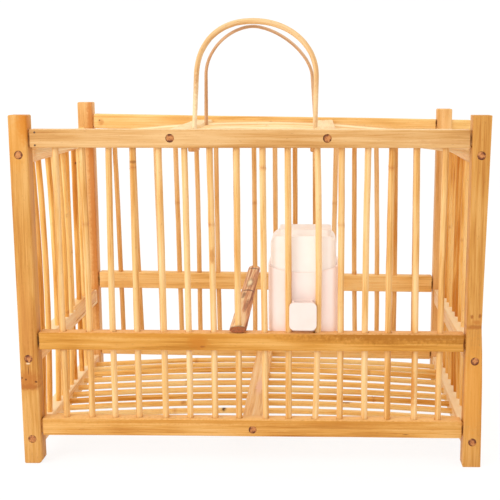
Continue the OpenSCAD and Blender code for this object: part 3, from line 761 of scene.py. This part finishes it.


# painted shade: a rail is darkened at its end, in the narrow gap where it meets its post
endGapShade = (104, 52, 18)
# painted highlight: the top face of each front rail is paler, as if lit from above
topFaceHighlight = {"Top": (246, 208, 154), "Middle": (240, 184, 118), "Bottom": (250, 200, 128)}
frontWood = {"Top": "top", "Middle": "middle", "Bottom": "low"}
railMarks = {
    "FrontTop": [
        ((-169.8, -110.5, 249), (0.9, 20, 6.8), endGapShade, 0.6),
        ((151, -110.5, 249), (1.1, 20, 7.2), endGapShade, 0.75),
        ((130, -110.5, 247), (30, 4, 2.2), (204, 146, 84), 0.5),
    ],
    "FrontMiddle": [
        # the darkest painted shade, in the gap at the left end of the middle rail
        ((-170, -110.5, 97), (1.8, 20, 7.5), (74, 30, 8), 0.97),
        ((150.7, -110.5, 97), (1.3, 20, 7.2), endGapShade, 0.85),
        ((-48.5, -110.5, 97), (10.5, 4, 9), (198, 120, 30), 0.7),
        ((-45.2, -110.5, 93.5), (2.6, 4, 1.1), (158, 90, 30), 0.7),
        ((-20, -110.5, 103), (240, 4, 5.2), (204, 134, 40), 0.5),
        ((105, -110.5, 103.5), (110, 4, 9), (166, 100, 14), 0.85),
    ],
    "FrontBottom": [
        ((-171.2, -110.5, 29), (1.2, 20, 6.8), endGapShade, 0.75),
        ((151.5, -110.5, 29), (1.2, 20, 6.8), endGapShade, 0.8),
        ((-20, -110.5, 35.2), (240, 4, 4.6), (202, 134, 46), 0.55),
        ((108, -110.5, 25.2), (3, 4, 0.5), (120, 66, 26), 0.7),
    ],
    "RearTop": [
        ((-162.4, 99.5, 251.5), (3.4, 4, 4.4), (206, 136, 66), 0.6),
        ((-163.8, 99.5, 253.2), (0.9, 4, 0.9), (120, 62, 24), 0.9),
        ((151.2, 99.5, 251), (1.2, 10, 6.2), endGapShade, 0.9),
    ],
    "RearMiddle": [
        ((-169.8, 99.5, 100.5), (1.3, 10, 8.2), endGapShade, 0.85),
        ((151.2, 99.5, 97.5), (1.4, 10, 8.2), endGapShade, 0.85),
    ],
    "RearBottom": [
        ((151.2, 99.5, 29), (1.4, 10, 6), endGapShade, 0.85),
    ],
}
boardPegs = islands("board_pegs")
bearerPegs = islands("bearer_pegs")
for wall in ("Front", "Rear"):
    for level, short in levels.items():
        name, node = "rail" + wall + level, wall.lower() + "_" + short + "_rail"
        front = wall == "Front"
        piece = longRail(name, node, None if front else rearFalls[level], name == "railRearTop")
        low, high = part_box(node)
        marks = list(railMarks[wall + level])
        if front:
            barHoles(piece, level, low, high)
            # the painted highlight on the rail's top face
            marks.append(((0, high.y * 1000, high.z * 1000), (600, 20, 0.6), topFaceHighlight[level], 0.85))
        near = [(start, end) for start, end in boardPegs + bearerPegs
                if start.y < high.y and end.y > low.y and low.z < (start.z + end.z) / 2 < high.z]
        if near:
            pegHoles(piece, near)
        keepGrain(piece, 0)
        shadeSoft(piece)
        fit(piece, "cage", "bamboo_rail_pale" if name == "railFrontTop" else "bamboo_rail",
            bambooFinish("bamboo " + name, frontWood[level] if front else "rear", marks), node)
fitPegs("pegsBoard", "board_pegs", boardPegs)
fitPegs("pegsBearer", "bearer_pegs", bearerPegs)
print("long rails made")


# bars: shaved sticks along Z, modelled once and copied

sticks = {
    "frontRadius": 0.00243, "radius": 0.00233, "patternLength": 0.22, "spanLength": 0.33,
    "squash": 0.03,  # how far a stick's section is from round
    "end": 0.86, "endCut": 0.0006,  # size and length of the cut ends
    "nodeSwell": 1.055, "nodeGroove": 1.01, "nodeClear": 0.004, "ringDark": 0.75,
    "ringReach": 0.0024, "nodeRings": (-0.0026, -0.0008, 0, 0.0008, 0.0026),
    "sides": 12, "kink": 0.0001, "riseSlack": 0.00008, "tone": (-0.16, 0.14),
    "spanTone": (-0.12, 0.16),
}


def stickPattern(name, length, radius, nodeAt, steps=14, kink=sticks["kink"],
                 wideAt=lambda part: 1.0):  # wideAt gives the width along the length
    heights = [length * i / steps for i in range(1, steps)]
    if nodeAt:
        heights = [h for h in heights if abs(h - nodeAt * length) > sticks["nodeClear"]]
        heights += [nodeAt * length + off for off in sticks["nodeRings"]]
    heights = [sticks["endCut"]] + sorted(heights) + [length - sticks["endCut"], length]
    end = sticks["end"]
    deselect()
    bpy.ops.mesh.primitive_circle_add(vertices=sticks["sides"], radius=radius * end,
                                      fill_type="NGON", location=(0, 0, -length / 2))
    piece = newest(name)
    rings = [(Vector((0, 0, -length / 2)), (end, end, 1))]
    for height in heights:
        swell = 1.0
        if nodeAt and abs(height - nodeAt * length) < 0.001:
            atNode = abs(height - nodeAt * length) <= 0.0004
            swell = sticks["nodeGroove" if atNode else "nodeSwell"]
        wide = swell * (1 - dice.uniform(0, sticks["squash"])) * wideAt(height / length)
        deep = swell * (1 - dice.uniform(0, sticks["squash"]))
        if height == length:
            wide = deep = end
        drift = Vector((dice.uniform(-1, 1), dice.uniform(-1, 1), 0)) * kink
        rings.append((Vector((drift.x, drift.y, height - length / 2)), (wide, deep, 1)))
    openPiece(piece, "SELECT")
    growRings(rings)
    facesOut()
    closePiece()
    keepGrain(piece, 2, [0, 0, 0])
    nodeHeight = (nodeAt or 9) * length - length / 2
    setFigure(piece, "ring", lambda co: max(
        0.0, sticks["ringDark"] - abs(co.z - nodeHeight) / sticks["ringReach"]))
    shadeSoft(piece, 50)
    piece.hide_render = True
    return piece


def layStick(pattern, name, foot, tip, bow=0.0, bowTo=(1, 0, 0), tone=None):
    # copies a pattern between two points; its middle stands off by bow, away from bowTo
    foot, tip, bowTo = Vector(foot), Vector(tip), Vector(bowTo)
    piece = twin(pattern, name)
    piece.hide_render = False
    along = tip - foot
    size = max(corner.co.z for corner in pattern.data.vertices) * 2
    piece.data.transform(Matrix.Diagonal((1, 1, along.length / size, 1))
                         @ Matrix.Rotation(dice.uniform(0, 2 * math.pi), 4, "Z"))
    start = Vector([dice.uniform(0, uneven["grainStart"]) for _ in range(3)])
    for item in piece.data.attributes["grain"].data:
        item.vector = Vector(item.vector) + start
    setFigure(piece, "tone", dice.uniform(*sticks["tone"]) if tone is None else tone)
    if bow:
        bend = piece.modifiers.new("bow", "SIMPLE_DEFORM")
        bend.deform_method = "BEND"
        bend.deform_axis = "Y"
        bend.angle = 4 * math.atan(bow / (along.length / 2))
        applyModifiers(piece)
    axisZ = along.normalized()
    axisX = (bowTo - axisZ * bowTo.dot(axisZ)).normalized()
    turn = Matrix((axisX, axisZ.cross(axisX), axisZ)).transposed().to_4x4()
    piece.data.transform(Matrix.Translation((foot + tip) / 2 - axisX * bow) @ turn)
    return piece


def stickSet(name, length, radius, nodesAt, steps=14):
    return [stickPattern(name + str(i), length, radius, nodeAt, steps)
            for i, nodeAt in enumerate(nodesAt)]


frontPatterns = stickSet("frontStick", sticks["patternLength"], sticks["frontRadius"],
                         (None, 0.28, 0.71, None, 0.9))
thinPatterns = stickSet("thinStick", sticks["patternLength"], sticks["radius"],
                        (None, 0.35, 0.66, None))
spanPatterns = stickSet("spanStick", sticks["spanLength"], sticks["radius"],
                        (0.3, None, 0.8, 0.52), steps=26)
print("stick patterns made")

inset = Vector((0, 0, 0.0004))  # a stick ends a little inside its hole
frontStick = {"bowMost": 0.0007, "spreadBar": 11, "spreadBow": 0.002, "tone": (-0.08, 0.12),
              "browner": {8: -0.08, 14: -0.02, 15: -0.06, 16: -0.02}}
for i, (foot, tip) in enumerate(frontBars, start=1):
    bow = dice.uniform(0, frontStick["bowMost"])
    bowTo = (dice.choice((-1, 1)), dice.uniform(-0.4, 0.4), 0)
    if i == frontStick["spreadBar"]:  # the feeder pushes this bar aside
        bow, bowTo = frontStick["spreadBow"], (-1, 0, 0)
    tone = dice.uniform(*frontStick["tone"]) + frontStick["browner"].get(i, 0)
    stick = layStick(frontPatterns[i % len(frontPatterns)], "barFront%02d" % i,
                     foot + inset, tip - inset, bow, bowTo, tone)
    fit(stick, "cage", "bamboo_bar", finishes["bar"], "front_bar_%02d" % i)

wallSticks = {"bowMost": 0.0008, "leftBow": 0.0026, "leftBowed": 6, "rightBow": 0.001}


def anyBow(i):
    return dice.uniform(0, wallSticks["bowMost"]), (dice.choice((-1, 1)), dice.uniform(-1, 1), 0)


def uprightRow(name, node, bowOf, body="cage", finish="wallBar"):
    row = []
    for i, (foot, tip, top) in enumerate(looseEnds(node, 2)):
        row.append(layStick(thinPatterns[(i * 3 + 1) % len(thinPatterns)], "stick",
                            foot + inset, tip - inset, *bowOf(i)))
    fit(joined(name, row), body, "bamboo_bar", finishes[finish], node)


rearEnds = looseEnds("rear_bars", 2)
doorEnds = looseEnds("door_bars", 2)
uprightRow("barsRear", "rear_bars", anyBow, finish="bar")
uprightRow("barsLeft", "left_bars",
           lambda i: (wallSticks["leftBow"] if i < wallSticks["leftBowed"] else 0, (-1, 0, 0)))
uprightRow("barsRight", "right_bars", lambda i: (wallSticks["rightBow"], (1, 0, 0)))
uprightRow("barsDoor", "door_bars", lambda i: (0, (1, 0, 0)), "side_door")


def bowedRow(name, node, finish):
    row = []
    for i, (foot, tip, top) in enumerate(looseEnds(node, 0)):
        rise = top - sticks["radius"] - sticks["riseSlack"] - foot.z
        row.append(layStick(spanPatterns[(i * 3 + 1) % len(spanPatterns)], "stick", foot, tip,
                            rise, (0, 0, -1), dice.uniform(*sticks["spanTone"])))
    fit(joined(name, row), "cage", "bamboo_bar_pale", finishes[finish], node)


bowedRow("barsCeiling", "ceiling_bars", "ceilingBar")
bowedRow("barsFloor", "floor_bars", "floorBar")
for pattern in frontPatterns + thinPatterns + spanPatterns:
    bpy.data.objects.remove(pattern)
print("bars made")


# side rails; the batten of the door stands on a ledge in the left middle one

doorStep = {"back": 0.0038, "rise": 0.003, "hole": 0.0026, "gap": 0.0005}
battenLow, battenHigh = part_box("door_batten")


def sideRail(name, node):
    low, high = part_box(node)
    shoulder = Vector((0, rail["sideShoulder"], 0))
    piece = block(name, low + shoulder, high - shoulder)
    wander(piece, 1, rail["sideCuts"], rail["drift"])
    softEdges(piece, rail["edge"], segments=3)
    trim = Vector(rail["sideTenon"])
    weld(piece, block("tenon", low + trim, high - trim))
    if node == "left_mid_rail":
        start = Vector((low.x + doorStep["back"], battenLow.y, low.z + doorStep["rise"]))
        end = Vector((high.x + past, battenHigh.y, high.z + past))
        gap = Vector((0, doorStep["gap"], 0))
        carve(piece, block("ledge", start - gap, end + gap))
    if node == "left_top_rail":
        carve(piece, *[rod("hole", (foot.x, foot.y, low.z - past), (foot.x, foot.y, high.z + past),
                           doorStep["hole"], rail["holeSides"]) for foot, tip, top in doorEnds])
    keepGrain(piece, 1)
    shadeSoft(piece)
    # painted highlight: the top face of the side rail is paler, as if lit from above
    sideTopHighlight = ((0, 0, high.z * 1000), (600, 600, 0.8), (255, 230, 186), 0.9)
    fit(piece, "cage", "bamboo_rail", bambooFinish("bamboo " + name, "side", [sideTopHighlight]), node)


for side in ("Left", "Right"):
    for level, short in levels.items():
        sideRail("rail" + side + level, side.lower() + "_" + short + "_rail")
print("side rails made")


# boards, bearer, door batten and keepers

boards = {"cuts": 4, "drift": 0.0001, "keeperEdge": 0.0011}


def plainWood(name, node, edge, drift, slotName, finish, body="cage"):
    piece = block(name, *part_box(node))
    wander(piece, 1, boards["cuts"], drift)
    softEdges(piece, edge, segments=3)
    keepGrain(piece, 1)
    shadeSoft(piece)
    fit(piece, body, slotName, finishes[finish], node)


for name, node in (("boardLeft", "cross_board_left"), ("boardRight", "cross_board_right")):
    plainWood(name, node, 0.0012, boards["drift"], "bamboo_board", "board")
plainWood("floorBearer", "floor_bearer", 0.001, boards["drift"], "bamboo_board", "bearer")
plainWood("doorBatten", "door_batten", 0.001, 0.0, "bamboo_rail", "bearer", "side_door")
blocks = []
for low, high in islands("handle_keepers"):
    piece = block("keeper", low, high)
    softEdges(piece, boards["keeperEdge"])
    keepGrain(piece, 2)
    blocks.append(piece)
keepers = joined("keepers", blocks)
fit(keepers, "cage", "keeper_wood", finishes["keeper"], "handle_keepers")
shadeSoft(keepers)
print("boards and blocks made")


# the two bent hoops of the handle; pairs are for the left and the right leg

hoops = {
    "hoopFront": {"node": "handle_hoop_front", "footY": -0.0422, "lean": 24.5,
                  "ends": (-0.0478, 0.0478), "springs": (-0.0478, 0.0486), "spring": 0.0438,
                  "square": (2.24, 2.05), "thick": 0.0037, "swell": 0.00125, "wide": 0.0049,
                  "slot": "hoop_pale"},
    "hoopRear": {"node": "handle_hoop_rear", "footY": 0.0420, "lean": -27.1,
                 "ends": (-0.0478, 0.0478), "springs": (-0.0451, 0.0451), "spring": 0.0449,
                 "square": (1.82, 1.66), "thick": 0.00335, "swell": -0.001, "wide": 0.0041,
                 "slot": "hoop_brown"},
}
handle = {"topX": -0.0033, "shiftX": -0.00925, "kink": 0.00002, "steps": 110, "points": 90,
          "patternRadius": 0.001, "footExtra": 0.002, "slack": 0.0001}
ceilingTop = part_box("cross_board_left")[1].z


def hoopPath(hoop, top, low, count=96):  # points in the hoop's own upright plane, foot to foot
    legs = [[Vector((end, 0, height)) for height in (low, low / 2, 0)] for end in hoop["ends"]]
    arch = []
    for i in range(count + 1):
        turn = math.pi * i / count
        side = 1 if math.cos(turn) > 0 else 0
        power = 2 / hoop["square"][side]
        reach = hoop["springs"][side] - handle["topX"]
        height = hoop["spring"] + (top - hoop["spring"]) * abs(math.sin(turn)) ** power
        arch.append(Vector((handle["topX"] + reach * abs(math.cos(turn)) ** power, 0, height)))
    return legs[1] + arch + legs[0][::-1]


def evenLine(line, count):  # the same line with its points at even distances
    lengths = [0]
    for a, b in zip(line, line[1:]):
        lengths.append(lengths[-1] + (b - a).length)
    points, k = [], 0
    for i in range(count + 1):
        reach = lengths[-1] * i / count
        while k < len(line) - 2 and lengths[k + 1] < reach:
            k += 1
        part = (reach - lengths[k]) / max(lengths[k + 1] - lengths[k], 1e-9)
        points.append(line[k].lerp(line[k + 1], part))
    return points


def bendAlong(strip, path):
    deselect()
    bpy.ops.curve.primitive_bezier_curve_add()
    guide = bpy.context.object
    guide.data.splines.clear()
    line = guide.data.splines.new("POLY")
    line.points.add(len(path) - 1)
    for point, spot in zip(line.points, path):
        point.co = (*spot, 1)
    guide.data.twist_mode = "MINIMUM"
    bend = strip.modifiers.new("bent", "CURVE")
    bend.object = guide
    bend.deform_axis = "POS_Z"
    applyModifiers(strip)
    bpy.data.objects.remove(guide)


for name, hoop in hoops.items():
    low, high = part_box(hoop["node"])
    lean = math.radians(hoop["lean"])
    thick = hoop["thick"] + hoop["swell"]
    top = ((high.z - ceilingTop) / math.cos(lean) - handle["slack"]
           - math.hypot(thick / 2, math.tan(lean) * hoop["wide"] / 2))
    foot = (low.z - ceilingTop) / math.cos(lean) + handle["footExtra"]
    path = evenLine(hoopPath(hoop, top, foot), handle["points"])
    length = sum((b - a).length for a, b in zip(path, path[1:]))
    swell = hoop["swell"] / hoop["thick"]
    strip = stickPattern(name, length, handle["patternRadius"], None, handle["steps"],
                         handle["kink"], lambda part: 1 + swell * math.sin(math.pi * part) ** 2)
    strip.hide_render = False
    across = 2 * handle["patternRadius"]
    size = Matrix.Diagonal((hoop["thick"] / across, hoop["wide"] / across, 1, 1))
    strip.data.transform(Matrix.Translation((0, 0, length / 2)) @ size)
    bendAlong(strip, path)
    strip.data.transform(Matrix.Translation((handle["shiftX"], hoop["footY"], ceilingTop))
                         @ Matrix.Rotation(-lean, 4, "X"))
    fit(strip, "cage", hoop["slot"], finishes[name], hoop["node"])
print("hoops made")


# the twig perch, from its front end to its rear end

perch = {
    "front": {"x": -0.01872, "up": 0.0027, "wide": 0.0136, "thick": 0.0054},
    "rear": {"x": -0.02012, "down": 0.0033, "wide": 0.0116, "thick": 0.0066},
    "sides": 20, "steps": 22, "firstStep": 0.6, "rough": (0.01, 0.05), "knots": {9: 1.0, 10: 0.97},
    "cutEnd": 0.94, "short": 0.0001, "edge": 0.0005, "endFace": 0.0003, "bores": (0.0026, 0.0025),
    "boreBar": 7,
}


def perchPiece():
    low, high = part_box("perch")
    front, rear, cutEnd = perch["front"], perch["rear"], perch["cutEnd"]
    start = Vector((front["x"], low.y + perch["short"], low.z + front["up"]))
    fullLength = high.y - low.y - 2 * perch["short"]
    fall = high.z - rear["down"] - (low.z + front["up"])
    deselect()
    bpy.ops.mesh.primitive_circle_add(vertices=perch["sides"], radius=0.5, fill_type="NGON",
                                      rotation=(math.pi / 2, 0, 0))
    piece = newest("perch twig", (front["wide"] * cutEnd, 1, 1))
    piece.data.transform(Matrix.Diagonal((1, 1, front["thick"] * cutEnd, 1)))
    piece.data.transform(Matrix.Translation(start))
    rings = [(start, (front["wide"] * cutEnd, 1, front["thick"] * cutEnd))]
    for i in range(1, perch["steps"] + 1):
        t = (i - perch["firstStep"]) / (perch["steps"] - perch["firstStep"])
        if i == perch["steps"]:
            t = 1.0
        full = perch["knots"].get(i, 1 - dice.uniform(*perch["rough"]))
        wide, thick = [(front[k] + (rear[k] - front[k]) * t) * full for k in ("wide", "thick")]
        spot = (front["x"] + (rear["x"] - front["x"]) * t, start.y + fullLength * t,
                start.z + fall * t)
        rings.append((Vector(spot), (wide, 1, thick)))
    openPiece(piece, "SELECT")
    growRings(rings)
    facesOut()
    closePiece()
    softEdges(piece, perch["edge"], angle=60)
    bars = (frontBars[perch["boreBar"]][0], rearEnds[perch["boreBar"]][0])
    carve(piece, *[rod("bore", (bar.x, bar.y, low.z - 0.01), (bar.x, bar.y, high.z + 0.01), width)
                   for bar, width in zip(bars, perch["bores"])])
    keepGrain(piece, 1)
    frontFace, rearFace = low.y + perch["endFace"], high.y - perch["endFace"]
    setFigure(piece, "cut", lambda co: float(not frontFace <= co.y <= rearFace))
    shadeSoft(piece, 50)
    return piece


fit(perchPiece(), "perch", "perch_bark", finishes["bark"], "perch").name = "perchTwig"
print("perch made")


# nails

nail = {"radius": 0.00075, "sides": 16, "proud": 0.0001, "edge": 0.0001}
heads = []
for low, high in islands("brad_nails"):
    x, z = (low.x + high.x) / 2, (low.z + high.z) / 2
    head = rod("nail", (x, low.y - nail["proud"], z), (x, high.y, z), nail["radius"], nail["sides"])
    softEdges(head, nail["edge"], angle=60)
    heads.append(head)
fit(joined("nailHeads", heads), "cage", "nail_steel", finishes["nail"], "brad_nails")


# the feeder: a cup with a drinking mouth, and the bottle that stands upside down in it

cup = {"wall": 0.0013, "round": 0.006, "depth": 0.042, "dip": 0.0054, "dipRadius": 0.07,
       "dipSides": 160, "mouth": 0.01534, "mouthOff": -0.0007, "plate": 0.0204,
       "plateOff": -0.0001, "plateRound": 0.004, "plateBack": 0.00355, "overlap": 0.0002,
       "mouthLow": 0.0028, "mouthHigh": 0.024, "passageTop": 0.004, "openBack": 0.0006,
       "edge": 0.0005}
bottle = {"wall": 0.0012, "foot": 0.01395, "round": 0.006, "shoulder": 0.0067, "cap": 0.0042,
          "capWide": 0.0392, "capShift": 0.0014, "capTrim": 0.005, "capRound": 0.004,
          "capFrom": 0.02, "neck": 0.026, "neckSides": 40, "neckIn": 0.0006, "boreIn": 0.003,
          "notch": 0.008, "notchReach": 0.02, "edge": 0.0014}


def slab(name, low, high, radius, axis=2, segments=7):  # a box whose edges along one axis are round
    low, high = Vector(low), Vector(high)
    u, v = [k for k in range(3) if k != axis]
    deselect()
    bpy.ops.mesh.primitive_plane_add(size=1)
    piece = newest(name, ((high - low)[u], (high - low)[v], 1))
    openPiece(piece, "SELECT")
    bpy.ops.mesh.bevel(offset=radius, segments=segments, affect="VERTICES")
    extrude((0, 0, (high - low)[axis]))
    closePiece()
    order = {u: (1, 0, 0), v: (0, 1, 0), axis: (0, 0, 1)}
    turn = Matrix([order[k] for k in range(3)]).to_4x4()
    start = Vector([low[k] if k == axis else (low[k] + high[k]) / 2 for k in range(3)])
    piece.data.transform(Matrix.Translation(start) @ turn)
    openPiece(piece)
    facesOut()
    closePiece()
    return piece


def cupPiece():
    low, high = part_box("feeder_cup")
    wall = cup["wall"]
    front = high.y - cup["depth"]
    middle = (low.x + high.x) / 2
    left = middle + cup["mouthOff"] - cup["mouth"] / 2
    right = middle + cup["mouthOff"] + cup["mouth"] / 2
    bottom, top = low.z + cup["mouthLow"], low.z + cup["mouthHigh"]
    back = low.y + cup["plateBack"]
    plate = middle + cup["plateOff"]
    half = cup["plate"] / 2
    piece = slab("cup", (low.x, front, low.z), high, cup["round"])
    weld(piece, block("throat", (left, back - cup["overlap"], bottom),
                      (right, front + wall / 2, top)))
    weld(piece, slab("plate", (plate - half, low.y, bottom), (plate + half, back, top),
                     cup["plateRound"], axis=1))
    carve(piece, slab("inside", (low.x + wall, front + wall, low.z + wall),
                      (high.x - wall, high.y - wall, high.z + 0.01), cup["round"] - wall))
    centre = high.z - cup["dip"] + cup["dipRadius"]
    carve(piece, rod("dip", (middle, front - 0.001, centre), (middle, front + 0.003, centre),
                     cup["dipRadius"], cup["dipSides"]))
    inner = (left + wall, low.y + wall, bottom + wall)
    carve(piece, block("passage", inner, (right - wall, front + 2 * wall, top - cup["passageTop"])))
    carve(piece, block("trough", inner, (right - wall, front - cup["openBack"], top + 0.001)))
    softEdges(piece, cup["edge"], angle=50)
    shadeSoft(piece, 35)
    return piece


def bottleShape(low, high, inset):
    foot, bodyTop = low.z + bottle["foot"] + inset, high.z - bottle["cap"] - inset
    left, right = low.x + inset, high.x - inset
    body = slab("body", (left, low.y + inset, foot), (right, high.y - inset, bodyTop),
                bottle["round"] - inset)
    # rounds the upper edges only, because its lower ones lie far below the body
    shoulders = slab("shoulders", (left, low.y - 0.001, 2 * foot - bodyTop),
                     (right, high.y + 0.001, bodyTop), bottle["shoulder"] - inset, axis=1)
    carve(body, shoulders, operation="INTERSECT")
    middle = (low.x + high.x) / 2 + bottle["capShift"]
    half, trim = bottle["capWide"] / 2 - inset, bottle["capTrim"] + inset
    weld(body, slab("cap", (middle - half, low.y + trim, foot + bottle["capFrom"]),
                    (middle + half, high.y - trim, high.z - inset), bottle["capRound"]))
    return body


def bottlePiece():
    low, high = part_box("feeder_bottle")
    x, y = (low.x + high.x) / 2, (low.y + high.y) / 2
    foot, neck = low.z + bottle["foot"], bottle["neck"] / 2
    piece = bottleShape(low, high, 0.0)
    weld(piece, rod("neck", (x, y, low.z), (x, y, foot + bottle["neckIn"]), neck,
                    bottle["neckSides"]))
    softEdges(piece, bottle["edge"], segments=3, angle=40)
    carve(piece, bottleShape(low, high, bottle["wall"]))
    carve(piece, rod("bore", (x, y, low.z - 0.001), (x, y, foot + bottle["boreIn"]),
                     neck - bottle["wall"], bottle["neckSides"]))
    half, reach = bottle["notch"] / 2, bottle["notchReach"]
    carve(piece, block("notch", (x - half, y - reach, low.z - 0.001),
                       (x + half, y + reach, low.z + bottle["notch"] - 0.001)))
    shadeSoft(piece, 35)
    return piece


fit(cupPiece(), "feeder", "feeder_plastic", finishes["cup"], "feeder_cup").name = "feederCup"
fit(bottlePiece(), "bottle", "bottle_plastic", finishes["bottle"],
    "feeder_bottle").name = "feederBottle"
print("feeder made")


# floor, backdrop, light and camera; what the camera sees directly is plain white

backdrop = {"half": 2.4, "height": 2.4, "sweep": 0.7, "segments": 14, "colour": (246, 245, 244),
            "glow": 1.06, "lift": 0.8}
light = {"world": 0.92, "sky": (1, 0.985, 0.965, 1), "aim": (0, 0, 0.15)}
white = (1, 1, 1, 1)


def seenDirectly(tree):
    seen = step(tree, "LightPath").outputs
    bent = maths(tree, "MAXIMUM", seen["Is Glossy Ray"], seen["Is Transmission Ray"])
    return maths(tree, "MAXIMUM", seen["Is Camera Ray"], bent)


def backdropPiece():
    deselect()
    bpy.ops.mesh.primitive_plane_add(size=2 * backdrop["half"])
    floor = bpy.context.object
    floor.name = "paleFloor"
    selectCorners(floor, lambda co: co.y > 1)
    openPiece(floor, None)
    extrude((0, 0, backdrop["height"]))
    closePiece()
    selectCorners(floor, lambda co: co.y > 1 and co.z < 0.01)
    openPiece(floor, None)
    bpy.ops.mesh.bevel(offset=backdrop["sweep"], segments=backdrop["segments"])
    closePiece()
    shadeSoft(floor, 60)
    finish, tree = newFinish("pale studio floor")
    dress(finish, {"Base Color": shade(*backdrop["colour"]), "Roughness": 0.9,
                   "Specular IOR Level": 0.0})
    glow = step(tree, "Emission", Color=white, Strength=backdrop["glow"])
    mix = step(tree, "MixShader", i0=maths(tree, "MULTIPLY", seenDirectly(tree), backdrop["lift"]),
               i1=tree.nodes["Principled BSDF"].outputs[0], i2=glow.outputs[0])
    tree.links.new(mix.outputs[0], tree.nodes["Material Output"].inputs["Surface"])
    floor.data.materials.append(finish)


def lightWorld():
    world = bpy.data.worlds.new("studio")
    bpy.context.scene.world = world
    world.use_nodes = True
    tree = world.node_tree
    sky = tree.nodes["Background"]
    sky.inputs["Color"].default_value = light["sky"]
    sky.inputs["Strength"].default_value = light["world"]
    plain = step(tree, "Background", Color=white, Strength=1.0)
    mix = step(tree, "MixShader", i0=seenDirectly(tree), i1=sky.outputs[0], i2=plain.outputs[0])
    tree.links.new(mix.outputs[0], tree.nodes["World Output"].inputs["Surface"])


def softLamp(name, at, size, power):
    deselect()
    bpy.ops.object.light_add(type="AREA", location=at)
    lamp = bpy.context.object
    lamp.name = name
    lamp.data.size = size
    lamp.data.energy = power
    lamp.rotation_euler = (Vector(light["aim"]) - Vector(at)).to_track_quat("-Z", "Y").to_euler()


backdropPiece()
lightWorld()
softLamp("keyLamp", at=(-1.35, -1.15, 1.0), size=1.1, power=14)
softLamp("topLamp", at=(0.3, 0.15, 1.6), size=1.4, power=4)

view = {"at": (0.03983, -0.81992, 0.29295), "down": 10.023, "turn": 1.253, "lens": 70.38,
        "shift": -0.0905, "sensor": 36}
bpy.ops.object.camera_add(location=view["at"], rotation=(
    math.radians(90 - view["down"]), 0, math.radians(view["turn"])))
camera = bpy.context.object
camera.name = "photoCamera"
camera.data.lens = view["lens"]
camera.data.sensor_width = view["sensor"]
camera.data.shift_x = view["shift"]
bpy.context.scene.camera = camera
print("stage, light and camera set")
